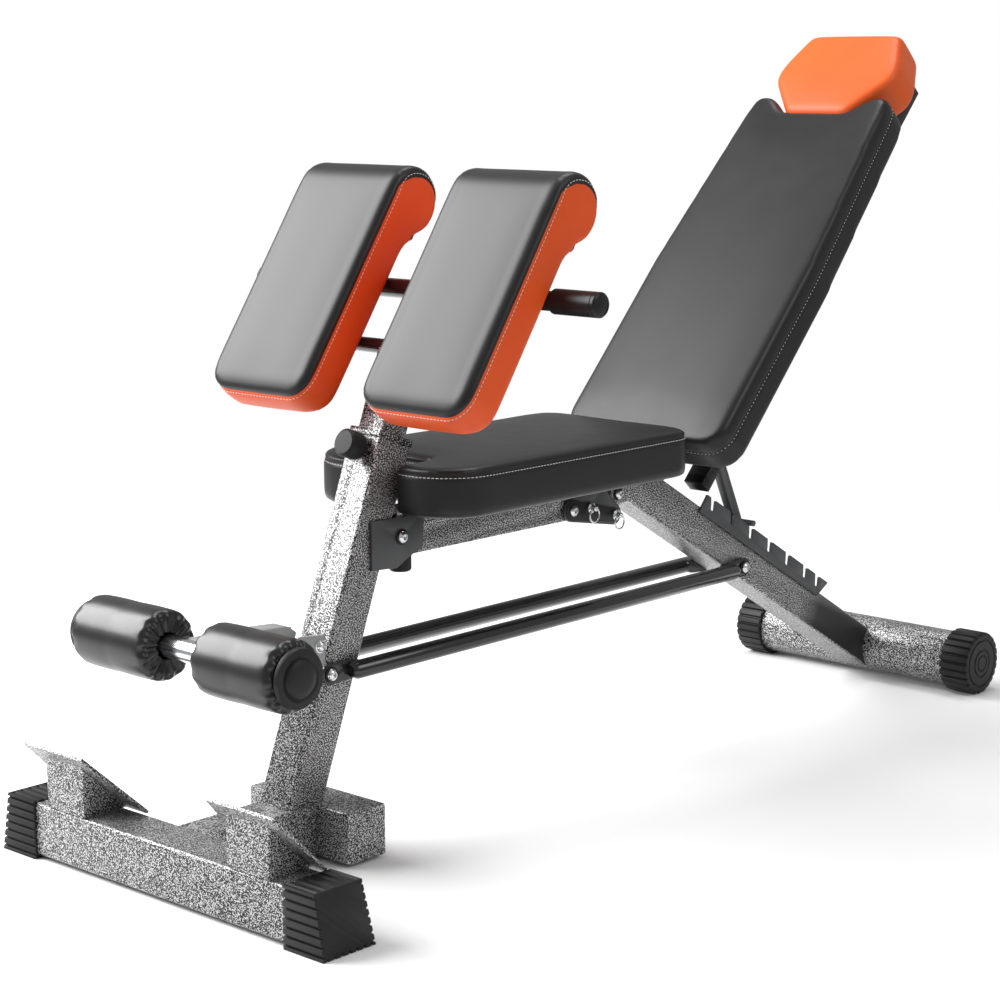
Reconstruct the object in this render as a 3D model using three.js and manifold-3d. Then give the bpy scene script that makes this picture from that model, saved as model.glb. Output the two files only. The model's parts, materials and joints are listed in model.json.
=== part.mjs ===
// Adjustable weight bench: leg rollers at the front, a seat on a folding rail, two thigh pads on a
// sliding post, and a backrest whose strut steps along a notched ladder on the rear leg.
// Millimetres. X is the width, +Y runs from the rollers to the rear foot, +Z is up.
import * as THREE from 'three'
import { mergeVertices } from 'three/addons/utils/BufferGeometryUtils.js'
import Module from 'manifold-3d'

const wasm = await Module()
wasm.setup()

// ---------------------------------------------------------------- driving dimensions
const clearance = 0.3            // between pieces that touch or slide
const wall = 2.5                 // wall of every hollow steel section
const plate = 4                  // bracket and link plate
const boltRadius = 5
const headRadius = 7.5
const headHeight = 5

const mainTube = 50              // square section of post, rail and leg
const tubeCorner = 4

const baseWidth = 406            // front foot between its end caps
const baseDepth = 57
const baseHeight = 60
const baseLift = 4.4             // the caps hold the steel this far off the floor
const baseCapLength = 63
const baseCapWall = 7.7
const baseCapTaper = 6           // the end face leans inwards by this much
const baseCapRibs = 7
const socketDepth = 38           // how far a tube reaches into its end cap
const spineWidth = 60
const spineLength = 147.7
const crossWidth = 160
const crossDepth = 57

const footPlateInner = 102       // foot plate, from the centre plane
const footPlateOuter = 203
const footPlateFlare = 22
const footPlateRise = 70.5
const footPlateReach = 71        // how far the plate slopes back
const footPlateOverhang = 14
const footPlateThick = 4
const footSupportInner = 117
const footSupportOuter = 181
const footSupportSheet = 3

const postLean = 20.4            // degrees from upright, leaning to the rear
const postLength = 416.5
const postFootY = 195.5          // centre of the post where it meets the base
const collarHeight = 4
const collarLip = 1.5
const collarSleeve = 26

const railHeight = 370           // top of the seat rail
const railPivotY = 342.5
const railPivotDrop = 25.9       // pivot below the rail's top
const railEndY = 690
const foldLimit = 13             // degrees that the seat rail can rise
const linkBoltY = 635.3
const linkBoltDrop = 36.8
const lockPinY = 666.5
const lockPinDrop = 37.2
const legPinY = 714.1
const legPinDrop = 52.6
const legPivotY = 725.7
const legPivotDrop = 28.4
const lockKnobY = 369
const lockKnobRadius = 13
const lockKnobHeight = 22.5

const legSlope = 30.4            // degrees that the rear leg falls
const legDatumY = 814.5          // a point on the leg's top face
const legDatumZ = 348.3
const legFrontY = 712
const legTopLimit = 377
const rearTubeY = 1310.5
const rearTubeRadius = 38
const rearCapRadius = 43.5
const rearTubeWidth = 310        // between the end caps
const rearCapLength = 42
const rearCapFlutes = 20

const rodRadius = 10.5
const rodOffset = 36.8           // rod centre from the centre plane
const rodFrontY = 229.5
const rodFrontZ = 207
const rodRearY = 980.9
const rodRearZ = 209
const rodLugThick = 5.5
const rodLugRadius = 12
const rodBoltRadius = 4
const rodPivotPlay = 1.4           // the open pivot at the leg runs in this much play

const rollerBarY = 59.4
const rollerBarZ = 258.6
const rollerBarRadius = 12.5
const rollerRadius = 39
const rollerInner = 36.4
const rollerOuter = 161.5
const rollerCapRadius = 33
const rollerCapThick = 6
const armSection = 32
const armPlateHeight = 42

const notchPitch = 48.2
const notchFirst = 112.3         // along the leg from the datum
const notchCount = 6
const lastNotchStep = 33.2
const ladderStart = 88
const ladderEnd = 411
const ladderSkirt = 8            // how far the ladder plates lap the leg's sides
const toothTop = 17.5
const strutRodRadius = 4
const strutRodHover = 22         // rod centre above the leg's top face

const backAngle = 47.1           // degrees from level, as it stands at rest
const backDatumY = 908           // lower front corner of the back rail
const backDatumZ = 329
const backRailWidth = 30
const backRailDepth = 19
const backRailLength = 692
const backHingeY = 845
const backHingeZ = 355.9
const strutReach = 108.6         // hinge to strut pin, and strut pin to rod
const strutPinDepth = 10         // strut pin behind the rail's front face
const strutRodPlace = 202.1      // rod along the leg from the datum, as it stands at rest
const strutBarHalf = 6           // half the bar's thickness across the bench
const strutEnd = 7
const backBoardLevel = 70        // board underside, from the rail's front face
const backBoardThick = 6.7
const backPadTop = 140
const backPadHalf = 124.7
const backPadBottom = -22
const backPadTaperStart = 257
const backPadShoulder = 505
const backPadShoulderHalf = 109
const backPadLobe = 540
const backPadLobeHalf = 89
const backNotchHalf = 47
const backNotchFloor = 513
const headrestBottom = 519
const headrestTop = 652
const headrestWide = 90
const headrestLevel = 72
const headrestFace = 138

const cushionEdge = 6            // rounding of every cushion's edges
const seatPadHalf = 119
const seatPadFront = 328
const seatPadRear = 752
const seatPadBottom = 382
const seatPadTop = 431
const seatNotchHalf = 32
const seatNotchDepth = 64
const seatBoardHalf = 92

const innerTube = 40
const innerTopZ = 640
const innerBottomZ = 330
const handleRadius = 11
const handleHalf = 262
const handleY = 408.7
const handleZ = 614.8
const gripRadius = 14
const gripStart = 201
const gripEnd = 267
const crossBarRadius = 8.5
const thighAngle = 56.1
const thighDatumY = 324
const thighDatumZ = 600
const thighInner = 45
const thighOuter = 198
const thighBack = -47
const thighBoardThick = 3.4
const hookRadius = 36
const hookCentre = 155
const hookDepth = -32

// ---------------------------------------------------------------- finishes
const finish = (color, roughness, metalness) => () =>
  new THREE.MeshStandardMaterial({ color, roughness, metalness })
const hammeredPaint = finish(0x9b9b9b, 0.45, 0.5)
const darkPaint = finish(0x47494b, 0.5, 0.3)
const greyPaint = finish(0x9fa3a6, 0.5, 0.3)
const gloss = finish(0x1a1b1d, 0.2, 0.6)
const chrome = finish(0xc8ccd0, 0.15, 1)
const plastic = finish(0x202123, 0.55, 0)
const foam = finish(0x2b2c2e, 0.6, 0)
const vinyl = finish(0x1d1e20, 0.45, 0)
const orangeVinyl = finish(0xd9581e, 0.5, 0)
const board = finish(0x2a2522, 0.8, 0)

// ---------------------------------------------------------------- geometry helpers
const bench = new THREE.Group()
const axisX = new THREE.Vector3(1, 0, 0)

function solid(geometry) {
  const bare = geometry.clone()
  bare.deleteAttribute('normal')
  bare.deleteAttribute('uv')
  const merged = mergeVertices(bare, 1e-4)
  return new wasm.Manifold(new wasm.Mesh({
    numProp: 3,
    vertProperties: new Float32Array(merged.attributes.position.array),
    triVerts: new Uint32Array(merged.index.array),
  }))
}

function geometryOf(manifold) {
  const mesh = manifold.getMesh()
  const geometry = new THREE.BufferGeometry()
  geometry.setAttribute('position', new THREE.BufferAttribute(mesh.vertProperties, 3))
  geometry.setIndex(new THREE.BufferAttribute(mesh.triVerts, 1))
  geometry.computeVertexNormals()
  return geometry
}

function cut(body, ...tools) {
  return geometryOf(tools.reduce((left, tool) => left.subtract(solid(tool)), solid(body)))
}

function join(body, ...others) {
  return geometryOf(others.reduce((left, other) => left.add(solid(other)), solid(body)))
}

function add(name, geometry, material, parent = bench) {
  const mesh = new THREE.Mesh(geometry, material())
  mesh.name = name
  parent.add(mesh)
  return mesh
}

// A frame is a place and a direction in the bench's side view: u runs along the angle, v at its left.
const frame = (y, z, degrees) => ({ y, z, angle: THREE.MathUtils.degToRad(degrees) })
const world = frame(0, 0, 0)

function point({ y, z, angle }, u, v) {
  return [y + u * Math.cos(angle) - v * Math.sin(angle), z + u * Math.sin(angle) + v * Math.cos(angle)]
}

function within({ y, z, angle }, py, pz) {
  const [dy, dz] = [py - y, pz - z]
  return [dy * Math.cos(angle) + dz * Math.sin(angle), dz * Math.cos(angle) - dy * Math.sin(angle)]
}

function along({ angle }) {
  return new THREE.Vector3(0, Math.cos(angle), Math.sin(angle))
}

function across({ angle }) {
  return new THREE.Vector3(0, -Math.sin(angle), Math.cos(angle))
}

// A side-view outline, extruded across the bench from x0 to x1.
function slab(shape, x0, x1, place = world, curveSegments = 6) {
  const geometry = new THREE.ExtrudeGeometry(shape, { depth: x1 - x0, bevelEnabled: false, curveSegments })
  geometry.translate(0, 0, x0)
  const basis = new THREE.Matrix4().makeBasis(along(place), across(place), axisX)
  return geometry.applyMatrix4(basis).translate(0, place.y, place.z)
}

// A plan outline (x, u) of a frame, extruded from level v0 to v1.
function layer(shape, v0, v1, place, curveSegments = 8) {
  const geometry = new THREE.ExtrudeGeometry(shape, { depth: v1 - v0, bevelEnabled: false, curveSegments })
  geometry.translate(0, 0, v0)
  const basis = new THREE.Matrix4().makeBasis(axisX, along(place), across(place))
  return geometry.applyMatrix4(basis).translate(0, place.y, place.z)
}

// The same for a cushion, whose edges are rounded at both ends of the extrusion.
function cushion(shape, d0, d1, curveSegments) {
  return new THREE.ExtrudeGeometry(shape, { depth: d1 - d0 - 2 * cushionEdge, bevelThickness: cushionEdge,
    bevelSize: cushionEdge, bevelOffset: -cushionEdge, bevelSegments: 2, curveSegments })
    .translate(0, 0, d0 + cushionEdge)
}

function cushionAcross(shape, x0, x1, place, curveSegments = 8) {
  const basis = new THREE.Matrix4().makeBasis(along(place), across(place), axisX)
  return cushion(shape, x0, x1, curveSegments).applyMatrix4(basis).translate(0, place.y, place.z)
}

function cushionOn(shape, v0, v1, place, curveSegments = 6) {
  const basis = new THREE.Matrix4().makeBasis(axisX, along(place), across(place))
  return cushion(shape, v0, v1, curveSegments).applyMatrix4(basis).translate(0, place.y, place.z)
}

function polygon(points) {
  return new THREE.Shape(points.map(([u, v]) => new THREE.Vector2(u, v)))
}

// The outline that a belt pulled round the given circles [u, v, radius] takes.
function belt(circles, steps = 16) {
  const points = circles.flatMap(([u, v, radius]) =>
    Array.from({ length: steps }, (_, i) => {
      const turn = (2 * Math.PI * i) / steps
      return [u + radius * Math.cos(turn), v + radius * Math.sin(turn)]
    }))
  points.sort((a, b) => a[0] - b[0] || a[1] - b[1])
  const turnOf = (o, a, b) => (a[0] - o[0]) * (b[1] - o[1]) - (a[1] - o[1]) * (b[0] - o[0])
  const half = (list) => list.reduce((chain, p) => {
    while (chain.length > 1 && turnOf(chain.at(-2), chain.at(-1), p) <= 1e-6) chain.pop()
    chain.push(p)
    return chain
  }, [])
  return polygon([...half(points).slice(0, -1), ...half(points.reverse()).slice(0, -1)])
}

function roundedRect(width, height, radius, x = -width / 2, y = -height / 2) {
  const shape = new THREE.Shape()
  shape.moveTo(x + radius, y)
  shape.lineTo(x + width - radius, y)
  shape.absarc(x + width - radius, y + radius, radius, -Math.PI / 2, 0)
  shape.lineTo(x + width, y + height - radius)
  shape.absarc(x + width - radius, y + height - radius, radius, 0, Math.PI / 2)
  shape.lineTo(x + radius, y + height)
  shape.absarc(x + radius, y + height - radius, radius, Math.PI / 2, Math.PI)
  shape.lineTo(x, y + radius)
  shape.absarc(x + radius, y + radius, radius, Math.PI, 1.5 * Math.PI)
  return shape
}

function hollowSection(width, height, radius, thickness) {
  const shape = roundedRect(width, height, radius)
  shape.holes.push(roundedRect(width - 2 * thickness, height - 2 * thickness, radius - thickness * 0.6))
  return shape
}

// A section drawn square to a frame's u direction, with its height along v, run from u0 to u1.
function run(section, u0, u1, place, v = 0) {
  const geometry = new THREE.ExtrudeGeometry(section, { depth: u1 - u0, bevelEnabled: false, curveSegments: 3 })
  geometry.translate(0, v, u0)
  const basis = new THREE.Matrix4().makeBasis(axisX.clone().negate(), across(place), along(place))
  return geometry.applyMatrix4(basis).translate(0, place.y, place.z)
}

// A round bar across the bench.
function bar(y, z, radius, x0, x1, segments = 24) {
  const geometry = new THREE.CylinderGeometry(radius, radius, x1 - x0, segments)
  return geometry.rotateZ(-Math.PI / 2).translate((x0 + x1) / 2, y, z)
}

// A profile [radius, height] that starts and ends on the axis, turned round a direction.
function turned(profile, origin, direction, segments = 24) {
  const geometry = new THREE.LatheGeometry(profile.map(([r, h]) => new THREE.Vector2(r, h)), segments)
  const turn = new THREE.Quaternion().setFromUnitVectors(new THREE.Vector3(0, 1, 0), direction)
  return geometry.applyQuaternion(turn).translate(origin.x, origin.y, origin.z)
}

function box(x0, x1, y0, y1, z0, z1) {
  const geometry = new THREE.BoxGeometry(x1 - x0, y1 - y0, z1 - z0)
  return geometry.translate((x0 + x1) / 2, (y0 + y1) / 2, (z0 + z1) / 2)
}

// A through bolt: a shank with a domed head and washer at each end.
function throughBolt(y, z, grip, shank = boltRadius) {
  const seat = grip + clearance
  const washer = headRadius + 1.5
  const end = [[washer, seat], [washer, seat + 1.5], [headRadius, seat + 1.5],
    [headRadius * 0.8, seat + headHeight * 0.8], [headRadius * 0.35, seat + headHeight], [0, seat + headHeight]]
  const mirrored = end.map(([r, h]) => [r, -h]).reverse()
  const profile = [...mirrored, [shank, -seat], [shank, seat], ...end]
  return turned(profile, new THREE.Vector3(0, y, z), axisX, 16)
}

const hole = (y, z, radius = boltRadius + clearance) => bar(y, z, radius, -200, 200, 16)
const rodHole = (y, z, play = clearance) => hole(y, z, rodBoltRadius + play)
const sides = [['left', -1], ['right', 1]]
const span = (side, inner, outer) => (side > 0 ? [inner, outer] : [-outer, -inner])

// ---------------------------------------------------------------- shared places
const half = mainTube / 2
const plateInner = half + clearance
const plateOuter = plateInner + plate
const baseTop = baseLift + baseHeight
const spineHeight = baseHeight - 1   // the spine stands a little lower than the front tube
const spineTop = baseLift + spineHeight
const post = frame(postFootY, baseTop, -postLean)       // u points to the rear, v climbs the post
const leg = frame(legDatumY, legDatumZ, -legSlope)      // u runs down the leg, v stands off its top
const back = frame(backDatumY, backDatumZ, backAngle)   // u climbs the rail, v faces the sitter
const thigh = frame(thighDatumY, thighDatumZ, thighAngle)
const railBottom = railHeight - mainTube
const railPivotZ = railHeight - railPivotDrop
const linkBoltZ = railHeight - linkBoltDrop
const lockPinZ = railHeight - lockPinDrop
const legPinZ = railHeight - legPinDrop
const legPivotZ = railHeight - legPivotDrop
const rearTubeZ = rearCapRadius

// ---------------------------------------------------------------- front foot
// Straight edge from a to b, with grooves cut to its left.
function groovedEdge([ax, ay], [bx, by], ribs, mouth = 2.6, depth = 1.8) {
  const length = Math.hypot(bx - ax, by - ay)
  const [tx, ty] = [(bx - ax) / length, (by - ay) / length]
  const points = [[ax, ay]]
  for (let i = 1; i < ribs; i++) {
    const centre = (length * i) / ribs
    for (const [offset, sink] of [[-0.5, 0], [-0.3, 1], [0.3, 1], [0.5, 0]]) {
      const reach = centre + offset * mouth
      points.push([ax + tx * reach - ty * sink * depth, ay + ty * reach + tx * sink * depth])
    }
  }
  return points
}

function frontCap(side) {
  const lower = baseDepth / 2 + baseCapWall
  const upper = lower - 1.5
  const top = baseTop + baseCapWall
  const corners = [[-lower, 0], [lower, 0], [upper, top], [-upper, top]]
  const ribs = [baseCapRibs - 1, baseCapRibs, baseCapRibs - 1, baseCapRibs]
  const outline = corners.flatMap((corner, i) => groovedEdge(corner, corners[(i + 1) % 4], ribs[i]))
  const inner = baseWidth / 2
  const [x0, x1] = span(side, inner, inner + baseCapLength)
  const shell = slab(polygon(outline), x0, x1, frame(baseDepth / 2, 0, 0))
  const position = shell.attributes.position
  for (let i = 0; i < position.count; i++) {
    const atEnd = Math.abs(position.getX(i)) > inner + baseCapLength / 2
    if (atEnd) position.setX(i, position.getX(i) - side * baseCapTaper * (position.getZ(i) / top))
  }
  const [s0, s1] = span(side, inner - 1, inner + socketDepth + clearance)
  return cut(shell, box(s0, s1, -clearance, baseDepth + clearance, baseLift - clearance, baseTop + clearance))
}

function footPlate(side) {
  const slope = frame(baseDepth, baseTop + clearance, 180 - THREE.MathUtils.radToDeg(
    Math.atan2(footPlateRise, footPlateReach)))
  const length = Math.hypot(footPlateRise, footPlateReach)
  const outline = [[footPlateOuter, 0], [footPlateOuter, length], [footPlateInner, length],
    [footPlateInner - footPlateFlare, 0]].map(([x, u]) => [side * x, u])
  const sheet = layer(polygon(side > 0 ? outline : outline.reverse()), -footPlateThick, 0, slope)
  const level = baseTop + clearance
  const [farY, farZ] = point(slope, length - 6, 0)
  const rise = (y) => level + ((baseDepth - y) * footPlateRise) / footPlateReach + 0.5
  const [i0, i1] = span(side, footSupportInner, footSupportOuter)
  const wedge = slab(polygon([[0, level], [baseDepth, level], [0, rise(0)]]), i0, i1)
  const inside = slab(polygon([[footSupportSheet, level - 1], [baseDepth * 2, level - 1],
    [baseDepth * 2, level - 0.5], [footSupportSheet, rise(footSupportSheet) - 3]]),
  i0 + footSupportSheet, i1 - footSupportSheet)
  const floor = box(Math.min(i0, -300), Math.max(i1, 300), farY - 200, baseDepth + 200, farZ - 400, level)
  return cut(join(sheet, cut(wedge, inside)), floor)
}

add('front_base_tube',
  slab(hollowSection(baseDepth, baseHeight, tubeCorner, wall), -baseWidth / 2 - socketDepth,
    baseWidth / 2 + socketDepth, frame(baseDepth / 2, baseLift + baseHeight / 2, 0), 3), hammeredPaint)
for (const [label, side] of sides) {
  add(`front_cap_${label}`, frontCap(side), plastic)
  add(`foot_plate_${label}`, footPlate(side), hammeredPaint)
}
const spineStart = baseDepth + clearance
const spineEnd = spineStart + spineLength
add('base_spine',
  run(hollowSection(spineWidth, spineHeight, tubeCorner, wall), spineStart, spineEnd,
    world, baseLift + spineHeight / 2), hammeredPaint)
const crossStart = spineEnd + clearance
add('base_cross_block',
  slab(roundedRect(crossDepth, spineHeight, 3), -crossWidth / 2, crossWidth / 2,
    frame(crossStart + crossDepth / 2, baseLift + spineHeight / 2, 0)), hammeredPaint)

// ---------------------------------------------------------------- post
const knobV = postLength - 19
const postSection = hollowSection(mainTube, mainTube, tubeCorner, wall)

// The post's section stands square to v, so it is run along a frame turned a quarter.
const upPost = frame(post.y, post.z, 90 - postLean)
const knobHole = turned([[0, 0], [boltRadius + clearance + 1, 0], [boltRadius + clearance + 1, half + 5],
  [0, half + 5]], new THREE.Vector3(0, ...point(post, 0, knobV)), along(post).negate(), 16)
const postFoot = box(-half - 5, half + 5, 0, 500, -50, spineTop + clearance)
const postBody = cut(run(postSection, -30, postLength, upPost), postFoot, rodHole(rodFrontY, rodFrontZ), knobHole)
add('front_post', postBody, hammeredPaint)

function collar() {
  const flangeSide = mainTube + 2 * collarLip
  const bore = innerTube + 2 * clearance
  const flange = roundedRect(flangeSide, flangeSide, tubeCorner)
  flange.holes.push(roundedRect(bore, bore, tubeCorner))
  const sleeveSide = mainTube - 2 * wall - 2 * clearance
  const sleeve = roundedRect(sleeveSide, sleeveSide, tubeCorner - wall * 0.6 + clearance)
  sleeve.holes.push(roundedRect(bore, bore, tubeCorner))
  const seat = postLength + clearance
  const body = join(run(flange, seat, seat + collarHeight, upPost), run(sleeve, seat - collarSleeve, seat + 1, upPost))
  return cut(body, knobHole)
}
add('post_collar', collar(), plastic)

function pullKnob() {
  const face = half + 30.5
  const tip = innerTube / 2 + clearance + 0.4
  const profile = [[0, tip], [boltRadius, tip], [boltRadius, half + 1], [9, half + 1], [9, half + 5],
    [15, half + 7], [16, half + 10], [16, face - 3], [13, face - 0.6], [0, face]]
  return turned(profile, new THREE.Vector3(0, ...point(post, 0, knobV)), along(post).negate())
}
add('post_knob', pullKnob(), plastic)

const bracketOutline = polygon([[296.2, 312], [335, 309.6], [356, 320], [376.9, 327.3], [379, 361.6],
  [372.6, 366], [296.2, 367.7]])
for (const [label, side] of sides) {
  const [x0, x1] = span(side, plateInner, plateOuter)
  add(`seat_bracket_${label}`, cut(slab(bracketOutline, x0, x1), hole(railPivotY, railPivotZ)), darkPaint)
}
add('seat_pivot_bolt', throughBolt(railPivotY, railPivotZ, plateOuter), chrome)

// ---------------------------------------------------------------- leg rollers
const armV = within(post, 228, 236)[1]
const armRoot = point(post, -half - clearance - plate, armV)
const armRise = Math.atan2(rollerBarZ - armRoot[1], rollerBarY - armRoot[0])
const arm = frame(armRoot[0], armRoot[1], THREE.MathUtils.radToDeg(armRise))
const armLength = Math.hypot(rollerBarZ - armRoot[1], rollerBarY - armRoot[0])

function rollerArm() {
  const foot = slab(polygon([[-half - clearance, armV - armPlateHeight / 2], [-half - clearance,
    armV + armPlateHeight / 2], [-half - clearance - plate, armV + armPlateHeight / 2],
  [-half - clearance - plate, armV - armPlateHeight / 2]]), -half + 2, half - 2, post)
  const beam = run(roundedRect(armSection, armSection, tubeCorner), -10, armLength + armSection / 2, arm)
  const behind = -half - clearance
  const postRoom = slab(polygon([[behind, armV - 60], [behind + 60, armV - 60], [behind + 60, armV + 60],
    [behind, armV + 60]]), -half - 5, half + 5, post)
  return cut(join(foot, beam), postRoom, bar(rollerBarY, rollerBarZ, rollerBarRadius + clearance, -100, 100))
}
add('roller_arm', rollerArm(), greyPaint)
add('roller_bar', bar(rollerBarY, rollerBarZ, rollerBarRadius, -rollerOuter, rollerOuter), chrome)

function roller(side) {
  const bore = rollerBarRadius + clearance
  const profile = [[bore, rollerInner], [rollerRadius - 8, rollerInner], [rollerRadius - 2, rollerInner + 3],
    [rollerRadius, rollerInner + 9], [rollerRadius, rollerOuter - 9], [rollerRadius - 2, rollerOuter - 3],
    [rollerRadius - 8, rollerOuter], [bore, rollerOuter], [bore, rollerInner]]
  return turned(profile, new THREE.Vector3(0, rollerBarY, rollerBarZ), new THREE.Vector3(side, 0, 0), 32)
}

function rollerCap(side) {
  const seat = rollerOuter + clearance
  const rim = seat + rollerCapThick
  const profile = [[0, seat], [rollerCapRadius, seat], [rollerCapRadius, rim - 2], [rollerCapRadius - 2, rim],
    [18, rim], [15, rim + 3], [8, rim + 5], [0, rim + 5.5]]
  return turned(profile, new THREE.Vector3(0, rollerBarY, rollerBarZ), new THREE.Vector3(side, 0, 0), 32)
}
for (const [label, side] of sides) {
  add(`roller_${label}`, roller(side), foam)
  add(`roller_cap_${label}`, rollerCap(side), plastic)
}

// ---------------------------------------------------------------- lower rods
function rod(side) {
  const centre = side * rodOffset
  const lug = (y, z, reach) => slab(belt([[y, z, rodLugRadius], [y + reach, z, rodRadius - 1]]),
    ...span(side, plateInner, plateInner + rodLugThick))
  const start = rodFrontY + 24
  const end = rodRearY - 24
  const level = (y) => rodFrontZ + ((rodRearZ - rodFrontZ) * (y - rodFrontY)) / (rodRearY - rodFrontY)
  const direction = new THREE.Vector3(0, end - start, level(end) - level(start))
  const length = direction.length()
  const profile = [[0, 0], [rodRadius - 4, 0], [rodRadius, 8], [rodRadius, length - 8],
    [rodRadius - 4, length], [0, length]]
  const tube = turned(profile, new THREE.Vector3(centre, start, level(start)), direction.normalize(), 20)
  const body = join(tube, lug(rodFrontY, rodFrontZ, 40), lug(rodRearY, rodRearZ, -40))
  return cut(body, rodHole(rodFrontY, rodFrontZ), rodHole(rodRearY, rodRearZ))
}
for (const [label, side] of sides) {
  add(`rod_${label}`, rod(side), gloss)
}
add('rod_front_bolt', throughBolt(rodFrontY, rodFrontZ, plateInner + rodLugThick, rodBoltRadius), chrome)
add('rod_rear_bolt', throughBolt(rodRearY, rodRearZ, plateInner + rodLugThick, rodBoltRadius), chrome)

// ---------------------------------------------------------------- seat rail
function seatRail() {
  const toPost = Math.abs(within(post, railPivotY, railPivotZ)[0]) - half
  const reach = toPost - 2 * clearance
  const lean = THREE.MathUtils.degToRad(postLean)
  const limit = lean + THREE.MathUtils.degToRad(foldLimit + 1)
  // The nose keeps behind the post's rear face at every angle of the fold.
  const topY = railPivotY - (reach - railPivotDrop * Math.sin(limit)) / Math.cos(limit)
  const lowY = railPivotY - (reach + (mainTube - railPivotDrop) * Math.sin(lean)) / Math.cos(lean)
  const nose = [0, 1, 2, 3].map((i) => {
    const turn = Math.PI - limit + ((limit - lean) * i) / 3
    return [railPivotY + reach * Math.cos(turn), railPivotZ + reach * Math.sin(turn)]
  })
  const outline = polygon([[topY, railHeight], ...nose, [lowY, railBottom], [railEndY, railBottom],
    [railEndY, railHeight]])
  const bounds = slab(outline, -half - 1, half + 1)
  const tube = run(hollowSection(mainTube, mainTube, tubeCorner, wall), railPivotY - 40, railEndY, world,
    railHeight - half)
  const body = geometryOf(solid(tube).intersect(solid(bounds)))
  const tongueHalf = half - wall - clearance
  const [buried, tip] = [railEndY - 45, railEndY]
  const sink = wall + clearance
  const tongue = slab(belt([[buried, railBottom + sink + 2, 2], [buried, railHeight - sink - 2, 2],
    [tip, railHeight - sink - 2, 2], [legPivotY, legPivotZ, 13], [legPinY, legPinZ, 9]], 12),
  -tongueHalf, tongueHalf)
  const weld = box(-half + 0.5, half - 0.5, buried, buried + 10, railBottom + 0.5, railHeight - 0.5)
  const knobBore = turned([[0, 0], [6, 0], [6, 10], [0, 10]], new THREE.Vector3(0, lockKnobY, railBottom - 5),
    new THREE.Vector3(0, 0, 1), 16)
  return cut(join(body, tongue, weld), hole(railPivotY, railPivotZ), hole(linkBoltY, linkBoltZ),
    hole(lockPinY, lockPinZ), hole(legPinY, legPinZ), hole(legPivotY, legPivotZ), knobBore)
}
add('seat_rail', seatRail(), hammeredPaint)

function lockKnob() {
  const top = railBottom - clearance
  const profile = [[0, top - lockKnobHeight], [lockKnobRadius - 2, top - lockKnobHeight],
    [lockKnobRadius, top - lockKnobHeight + 2], [lockKnobRadius, top - 1.5], [lockKnobRadius - 1.5, top],
    [boltRadius, top], [boltRadius, top + 14], [0, top + 14]]
  return turned(profile, new THREE.Vector3(0, lockKnobY, 0), new THREE.Vector3(0, 0, 1))
}
add('rail_lock_knob', lockKnob(), plastic)

function seatOutline(halfWidth, front, rear, notchHalf, notchDepth, frontRadius, rearRadius) {
  const shape = new THREE.Shape()
  const turn = Math.PI / 2
  const mouth = 8
  const heel = front + notchDepth
  shape.moveTo(-halfWidth + rearRadius, rear)
  shape.absarc(-halfWidth + rearRadius, rear - rearRadius, rearRadius, turn, 2 * turn)
  shape.lineTo(-halfWidth, front + frontRadius)
  shape.absarc(-halfWidth + frontRadius, front + frontRadius, frontRadius, 2 * turn, 3 * turn)
  shape.lineTo(-notchHalf - mouth, front)
  shape.absarc(-notchHalf - mouth, front + mouth, mouth, 3 * turn, 4 * turn)
  shape.lineTo(-notchHalf, heel - mouth)
  shape.absarc(-notchHalf + mouth, heel - mouth, mouth, 2 * turn, turn, true)
  shape.lineTo(notchHalf - mouth, heel)
  shape.absarc(notchHalf - mouth, heel - mouth, mouth, turn, 0, true)
  shape.lineTo(notchHalf, front + mouth)
  shape.absarc(notchHalf + mouth, front + mouth, mouth, 2 * turn, 3 * turn)
  shape.lineTo(halfWidth - frontRadius, front)
  shape.absarc(halfWidth - frontRadius, front + frontRadius, frontRadius, 3 * turn, 4 * turn)
  shape.lineTo(halfWidth, rear - rearRadius)
  shape.absarc(halfWidth - rearRadius, rear - rearRadius, rearRadius, 0, turn)
  return shape
}
add('seat_board',
  layer(seatOutline(seatBoardHalf, seatPadFront + 30, railEndY + 10, seatNotchHalf + 6, seatNotchDepth - 24, 12, 12),
    railHeight + clearance, seatPadBottom - clearance, world, 3), board)
add('seat_pad',
  cushionOn(seatOutline(seatPadHalf, seatPadFront, seatPadRear, seatNotchHalf, seatNotchDepth, 35, 28),
    seatPadBottom, seatPadTop, world, 5), vinyl)

const linkOutline = belt([[linkBoltY, linkBoltZ, 14.5], [legPinY, legPinZ, 13], [691, 353, 3]])
for (const [label, side] of sides) {
  const [x0, x1] = span(side, plateInner, plateOuter)
  add(`link_plate_${label}`, cut(slab(linkOutline, x0, x1), hole(linkBoltY, linkBoltZ),
    hole(lockPinY, lockPinZ), hole(legPinY, legPinZ)), darkPaint)
}
add('link_bolt', throughBolt(linkBoltY, linkBoltZ, plateOuter), chrome)

// Each lock pin passes both plates, with an eye at its right end that carries a split ring.
const pinHead = plateOuter + clearance
const eyeReach = 8
const eyeStalk = 3.6
const ringRadius = 8.6
const ringWire = 1.1
function ringPin(y, z) {
  const profile = [[0, -plateOuter - 3], [boltRadius - 1, -plateOuter - 3], [boltRadius - 1, pinHead], [7, pinHead],
    [7, pinHead + 4], [eyeStalk, pinHead + 5], [eyeStalk, pinHead + eyeReach + 3], [2, pinHead + eyeReach + 4],
    [0, pinHead + eyeReach + 4]]
  const pin = turned(profile, new THREE.Vector3(0, y, z), axisX, 16)
  const eye = new THREE.CylinderGeometry(ringWire + 1, ringWire + 1, 20, 12)
  return cut(pin, eye.translate(pinHead + eyeReach, y, z))
}

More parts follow.
